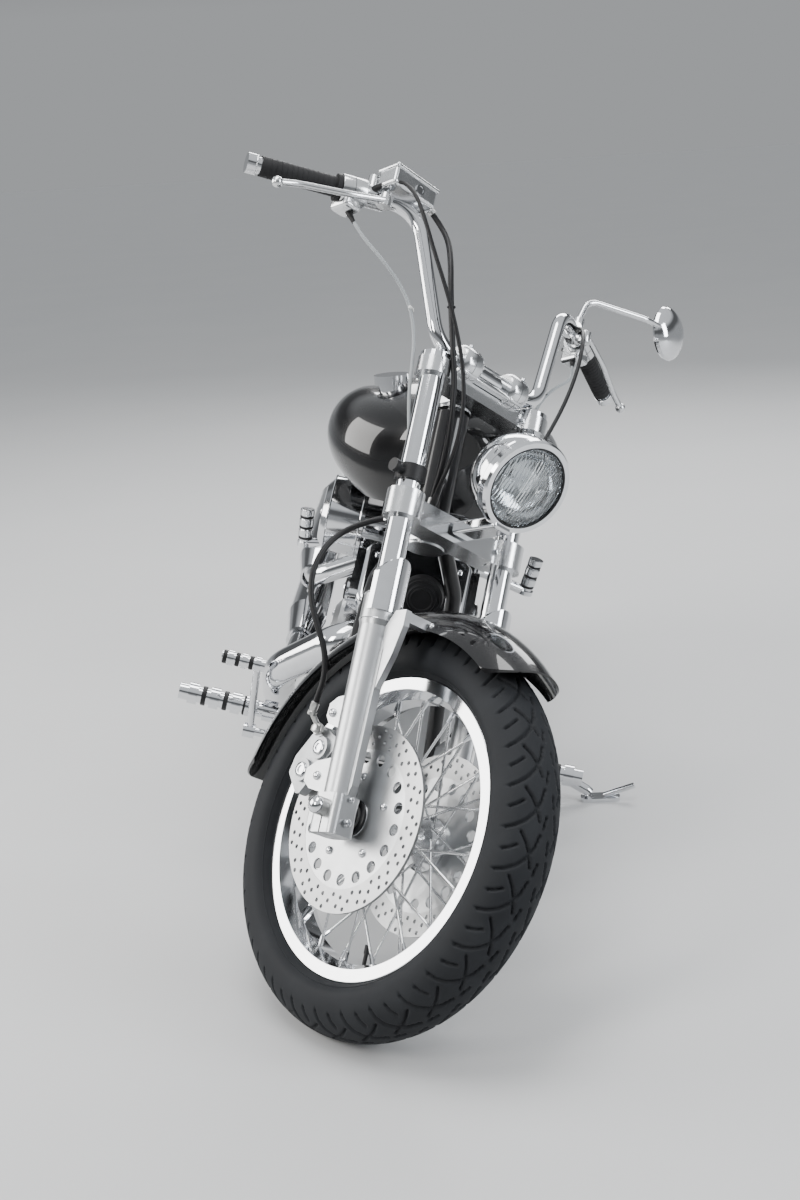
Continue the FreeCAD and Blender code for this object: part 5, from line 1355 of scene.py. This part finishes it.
# Seats.
@dataclass(frozen=True)
class Cushion:
    """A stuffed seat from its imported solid, swelled by cloth, with piping on its seam."""

    node: str
    rows: tuple
    origin: tuple
    shrink: float = 4.0
    cap: float = 9.0
    voxel: float = 0.006
    frames: int = 20
    pressure: float = 4.0
    channel: float = 6.0
    dip: float = 4.5

    def start(self) -> bpy.types.Object:
        """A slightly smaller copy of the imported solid, evenly meshed."""
        bm = copied(self.node)
        bm.normal_update()
        for vert, normal in [(v, v.normal.copy()) for v in bm.verts]:
            vert.co -= normal * self.shrink * MM
        mesh = bpy.data.meshes.new(self.node + "_cushion")
        bm.to_mesh(mesh)
        bm.free()
        piece = bpy.data.objects.new(self.node + "_cushion", mesh)
        bpy.context.scene.collection.objects.link(piece)
        remesh = piece.modifiers.new("even", "REMESH")
        remesh.mode = "VOXEL"
        remesh.voxel_size = self.voxel
        self.apply(piece)
        return piece

    def apply(self, piece: bpy.types.Object) -> None:
        """Writes the piece's modifiers into its mesh."""
        graph = bpy.context.evaluated_depsgraph_get()
        fresh = bpy.data.meshes.new_from_object(piece.evaluated_get(graph))
        piece.modifiers.clear()
        old = piece.data
        piece.data = fresh
        bpy.data.meshes.remove(old)

    def swell(self, piece: bpy.types.Object) -> None:
        """A few frames of cloth under pressure, each point's travel capped."""
        before = [v.co.copy() for v in piece.data.vertices]
        cloth = piece.modifiers.new("stuffing", "CLOTH")
        cloth.settings.use_pressure = True
        cloth.settings.uniform_pressure_force = self.pressure
        cloth.settings.effector_weights.gravity = 0.0
        cloth.settings.tension_stiffness = 15.0
        cloth.settings.compression_stiffness = 15.0
        cloth.point_cache.frame_start = 1
        cloth.point_cache.frame_end = self.frames
        scene = bpy.context.scene
        for step in range(1, self.frames + 1):
            scene.frame_set(step)
        self.apply(piece)
        scene.frame_set(1)
        for vert, old in zip(piece.data.vertices, before):
            move = vert.co - old
            if move.length > self.cap * MM:
                vert.co = old + move.normalized() * self.cap * MM

    def pull_in(self, piece: bpy.types.Object, seams: list) -> None:
        """Sews channels: the cover dips along each seam's line."""
        place = BIKE.matrix().inverted()
        for vert in piece.data.vertices:
            spot = place @ vert.co - Vector(self.origin)
            dip = 0.0
            for back in seams:
                gap = abs(spot.y - back + 0.0009 * spot.x * spot.x)
                dip = max(dip, math.exp(-((gap / self.channel) ** 2)))
            if dip > 0.02 and vert.normal.z > 0.2:
                vert.co -= vert.normal * dip * self.dip * MM

    def piping(self, piece: bpy.types.Object) -> None:
        """A cord of leather sewn along each shoulder, laid on the cushion."""
        graph = bpy.context.evaluated_depsgraph_get()
        tree = BVHTree.FromObject(piece, graph)
        right = [Vector((w, y, zs)) for y, w, zs in self.rows]
        loop = right + [Vector((-p.x, p.y, p.z)) for p in reversed(right)]
        curve = bpy.data.curves.new(self.node + "_piping", "CURVE")
        curve.dimensions = "3D"
        spline = curve.splines.new("BEZIER")
        spots = []
        for i, spot in enumerate(loop):
            ahead = loop[(i + 1) % len(loop)]
            spots += [spot.lerp(ahead, k / 4) for k in range(4)]
        spline.bezier_points.add(len(spots) - 1)
        for point, spot in zip(spline.bezier_points, spots):
            world = BIKE.at(*(spot + Vector(self.origin)))
            near, normal, _, _ = tree.find_nearest(world)
            point.co = near + normal * 0.0006
            point.handle_left_type = point.handle_right_type = "AUTO"
        spline.use_cyclic_u = True
        curve.bevel_depth = 0.0026
        curve.bevel_resolution = 3
        curve.resolution_u = 4
        settle(bpy.data.objects.new(self.node + "_piping", curve), SEAT_LEATHER, BIKE.body)

    def build(self, seams: list) -> None:
        """Cushion, channels and piping."""
        piece = self.start()
        self.swell(piece)
        for face in piece.data.polygons:
            face.use_smooth = True
        self.pull_in(piece, seams)
        smooth = piece.modifiers.new("smooth", "SMOOTH")
        smooth.factor = 0.5
        smooth.iterations = 3
        rounder = piece.modifiers.new("rounder", "SUBSURF")
        rounder.levels = rounder.render_levels = 1
        settle(piece, SEAT_LEATHER, BIKE.body, (self.node,))
        self.piping(piece)


RIDER = Cushion("rider_seat", ((-66, 42, 110), (-8, 76, 76), (92, 120, 45), (202, 132, 58), (266, 117, 104)),
                (0.0, 268.0, 641.0))
PASSENGER = Cushion("passenger_seat", ((-258, 93, 62), (-180, 105, 64), (-60, 97, 52), (-6, 66, 33)),
                    (0.0, 820.0, 710.5), shrink=3.0, cap=7.0)


# Tank, tail and feet.
@dataclass(frozen=True)
class Trim:
    """Tail lamp, indicators, plate, dial, and the rubbers of pegs and pedals."""

    fender: float = 384.0
    lamp_angle: float = 48.0
    plate_angle: float = 66.0
    plate_bolt: tuple = (60.0, 35.5, 28.0)
    strut_bolts: tuple = ((124.0, 634.0, 635.0), (124.0, 1010.0, 583.0))
    dial_at: tuple = (0.0, -105.0, 912.7)
    dial_up: tuple = (0.0, 12.0, 52.0)
    sweep: float = 240.0
    ticks: int = 25
    # Each peg or pad: root, direction, places of its sleeves, their radius and half length.
    pegs: tuple = (((205, -200, 240), (190, -8, 6), (61, 100, 142), 18.6, 4.5),
                   ((250, 380, 420), (8, -6, 84), (19, 43, 67), 15.2, 2.6))
    pads: tuple = (((-238, -286, 358), (-82, -2, 3), (26, 52, 76), 12.8, 4.0),
                   ((188, -300, 330), (80, -2, 2), (26, 52, 76), 11.8, 4.0))

    def split(self, node: str, point: Vector, way: Vector, gap: float, outer: tuple, inner: tuple) -> None:
        """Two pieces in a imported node's place, one on each side of a plane.

        Args:
            node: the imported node.
            point: a point of the plane, in the bike's frame.
            way: the outer side.
            gap: how far the inner piece reaches past the plane, in mm.
            outer: name and finish of the piece that stands for the node.
            inner: name and finish of the other.
        """
        halves = ((outer, (point, way), (node,)), (inner, (point + way * gap, -way), ()))
        for (name, finish), plane, replaces in halves:
            form = Form(BIKE)
            form.cut_from(node, (plane,))
            form.done(name, finish, replaces, slot=node)

    def tail(self) -> None:
        """Red glass on a chrome base, amber glasses, and the blank plate."""
        a = math.radians(self.lamp_angle)
        out = Vector((0, math.sin(a), math.cos(a)))
        self.split("tail_lamp", REAR_AXLE + out * (self.fender + 6), out, 1.0, ("tail_glass", RED_GLASS),
                   ("tail_base", CHROME))
        b = math.radians(self.plate_angle)
        foot = REAR_AXLE + Vector((0, self.fender * math.sin(b), self.fender * math.cos(b)))
        self.split("rear_indicators", foot + Y * 26, Y, 1.0, ("indicator_glass", AMBER_GLASS),
                   ("indicator_cups", CHROME))
        self.split("plate_holder", foot + Y * 34.2, Y, 0.2, ("blank_plate", BLANK_PLATE),
                   ("plate_bracket", BLACK_PLASTIC))
        bolts = Form(BIKE)
        for side in (-1, 1):
            bolts.bolt(foot + mirrored(Vector(self.plate_bolt), side), Y, 3.6, BoltHead.DOME)
            for place in self.strut_bolts:
                bolts.bolt(mirrored(Vector(place), side), X * side, 6.0, BoltHead.DOME)
        bolts.done("tail_bolts", CHROME)

    def dial(self) -> None:
        """Bezel, face, ticks, pointer and glass of the round dial on the tank."""
        axis = Vector(self.dial_up).normalized()
        top = Vector(self.dial_at)
        bright, face, marks, glass = Form(BIKE), Form(BIKE), Form(BIKE), Form(BIKE)
        bezel = [(-10, 45.6), (-10, 47), (1, 47), (3, 45), (3, 41), (0.4, 40), (0.4, 45.6)]
        bright.lathe(bezel, top, axis, 64)
        face.lathe([(0.0, 0), (0.0, 41), (0.5, 41), (0.5, 0)], top, axis, 56)
        turn = Z.rotation_difference(axis).to_matrix()
        for i in range(self.ticks):
            a = math.radians(self.sweep * (i / (self.ticks - 1) - 0.5))
            long = 7.0 if i % 2 == 0 else 4.0
            way = turn @ Vector((math.sin(a), -math.cos(a), 0))
            spot = top + way * (36 - long / 2) + axis * 0.8
            spin = turn @ Matrix.Rotation(a + math.pi, 3, "Z")
            marks.block(spot, (1.0 if i % 2 else 1.5, long, 0.5), spin)
        low = math.radians(-self.sweep / 2)
        way = turn @ Vector((math.sin(low), -math.cos(low), 0))
        marks.rod(top + axis * 1.6 - way * 6, top + axis * 1.6 + way * 30, 0.8, 8)
        marks.lathe([(0.4, 0), (0.4, 4), (2.4, 4), (2.4, 0)], top, axis, 20)
        glass.lathe([(2.2, 0), (2.2, 41.2), (3.0, 41.2), (4.4, 24), (4.9, 0)], top, axis, 48)
        bright.done("dial_bezel", CHROME)
        face.done("dial_plate", DIAL_FACE)
        marks.done("dial_marks", WHITE_PLASTIC)
        glass.done("dial_glass", CLEAR_GLASS)

    def feet(self) -> None:
        """Rubber sleeves with rounded lips on pegs and pedals."""
        form = Form(BIKE)
        for side, rods in ((-1, self.pegs), (1, self.pegs), (1, self.pads)):
            for root, way, places, r, half in rods:
                axis = mirrored(Vector(way).normalized(), side)
                profile = [(-half, r - 6), (-half, r - 1), (-half + 1.2, r), (half - 1.2, r), (half, r - 1),
                           (half, r - 6)]
                for place in places:
                    form.lathe(profile, mirrored(Vector(root), side) + axis * place, axis, 32)
        form.done("foot_rubbers", SEAL_RUBBER)

    def build(self) -> None:
        """All of the frame's trim."""
        self.tail()
        self.dial()
        self.feet()


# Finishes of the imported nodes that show.
WORN = (
    (CHROME, "fork_tubes tube_guards handlebar mirror headlamp front_rim rear_rim head_covers air_cleaner "
             "front_exhaust rear_exhaust fuel_cap tank_console fender_struts footpegs foot_pedals side_stand"),
    (POLISHED, "lower_clamp upper_clamp right_controls left_controls levers front_hub rear_hub"),
    (SATIN_ALLOY, "fork_sliders engine_cases final_drive"),
    (CAST_ALLOY, "front_calipers cylinders rear_caliper"),
    (ZINC, "front_axle rear_axle"),
    (BLACK_GLOSS, "front_fender fuel_tank rear_fender side_covers"),
    (FRAME_BLACK, "frame_tubes swingarm"),
    (ENGINE_BLACK, "carburettors"),
    (BLACK_PLASTIC, "horn"),
    (SEAL_RUBBER, "tube_band"),
    (GRIP_RUBBER, "grips"),
)


def main() -> None:
    """Builds the stage and every sub-assembly in order."""
    logging.basicConfig(level=logging.INFO, format="%(name)s %(message)s")
    Studio().build()
    LOG.info("stage")
    for route in ROUTES:
        route.build()
        LOG.info("cord %s", route.node)
    for wheel in (FRONT_WHEEL, REAR_WHEEL):
        wheel.build()
        LOG.info("wheel %s", wheel.name)
    for group in (Fork(), Bars(), Headlamp(), Engine(), Trim()):
        group.build()
        LOG.info(type(group).__name__)
    RIDER.build([110.0, 190.0])
    PASSENGER.build([-190.0, -120.0, -50.0])
    LOG.info("seats")
    for finish, nodes in WORN:
        for node in nodes.split():
            dress(node, finish)


if __name__ == "__main__":
    main()
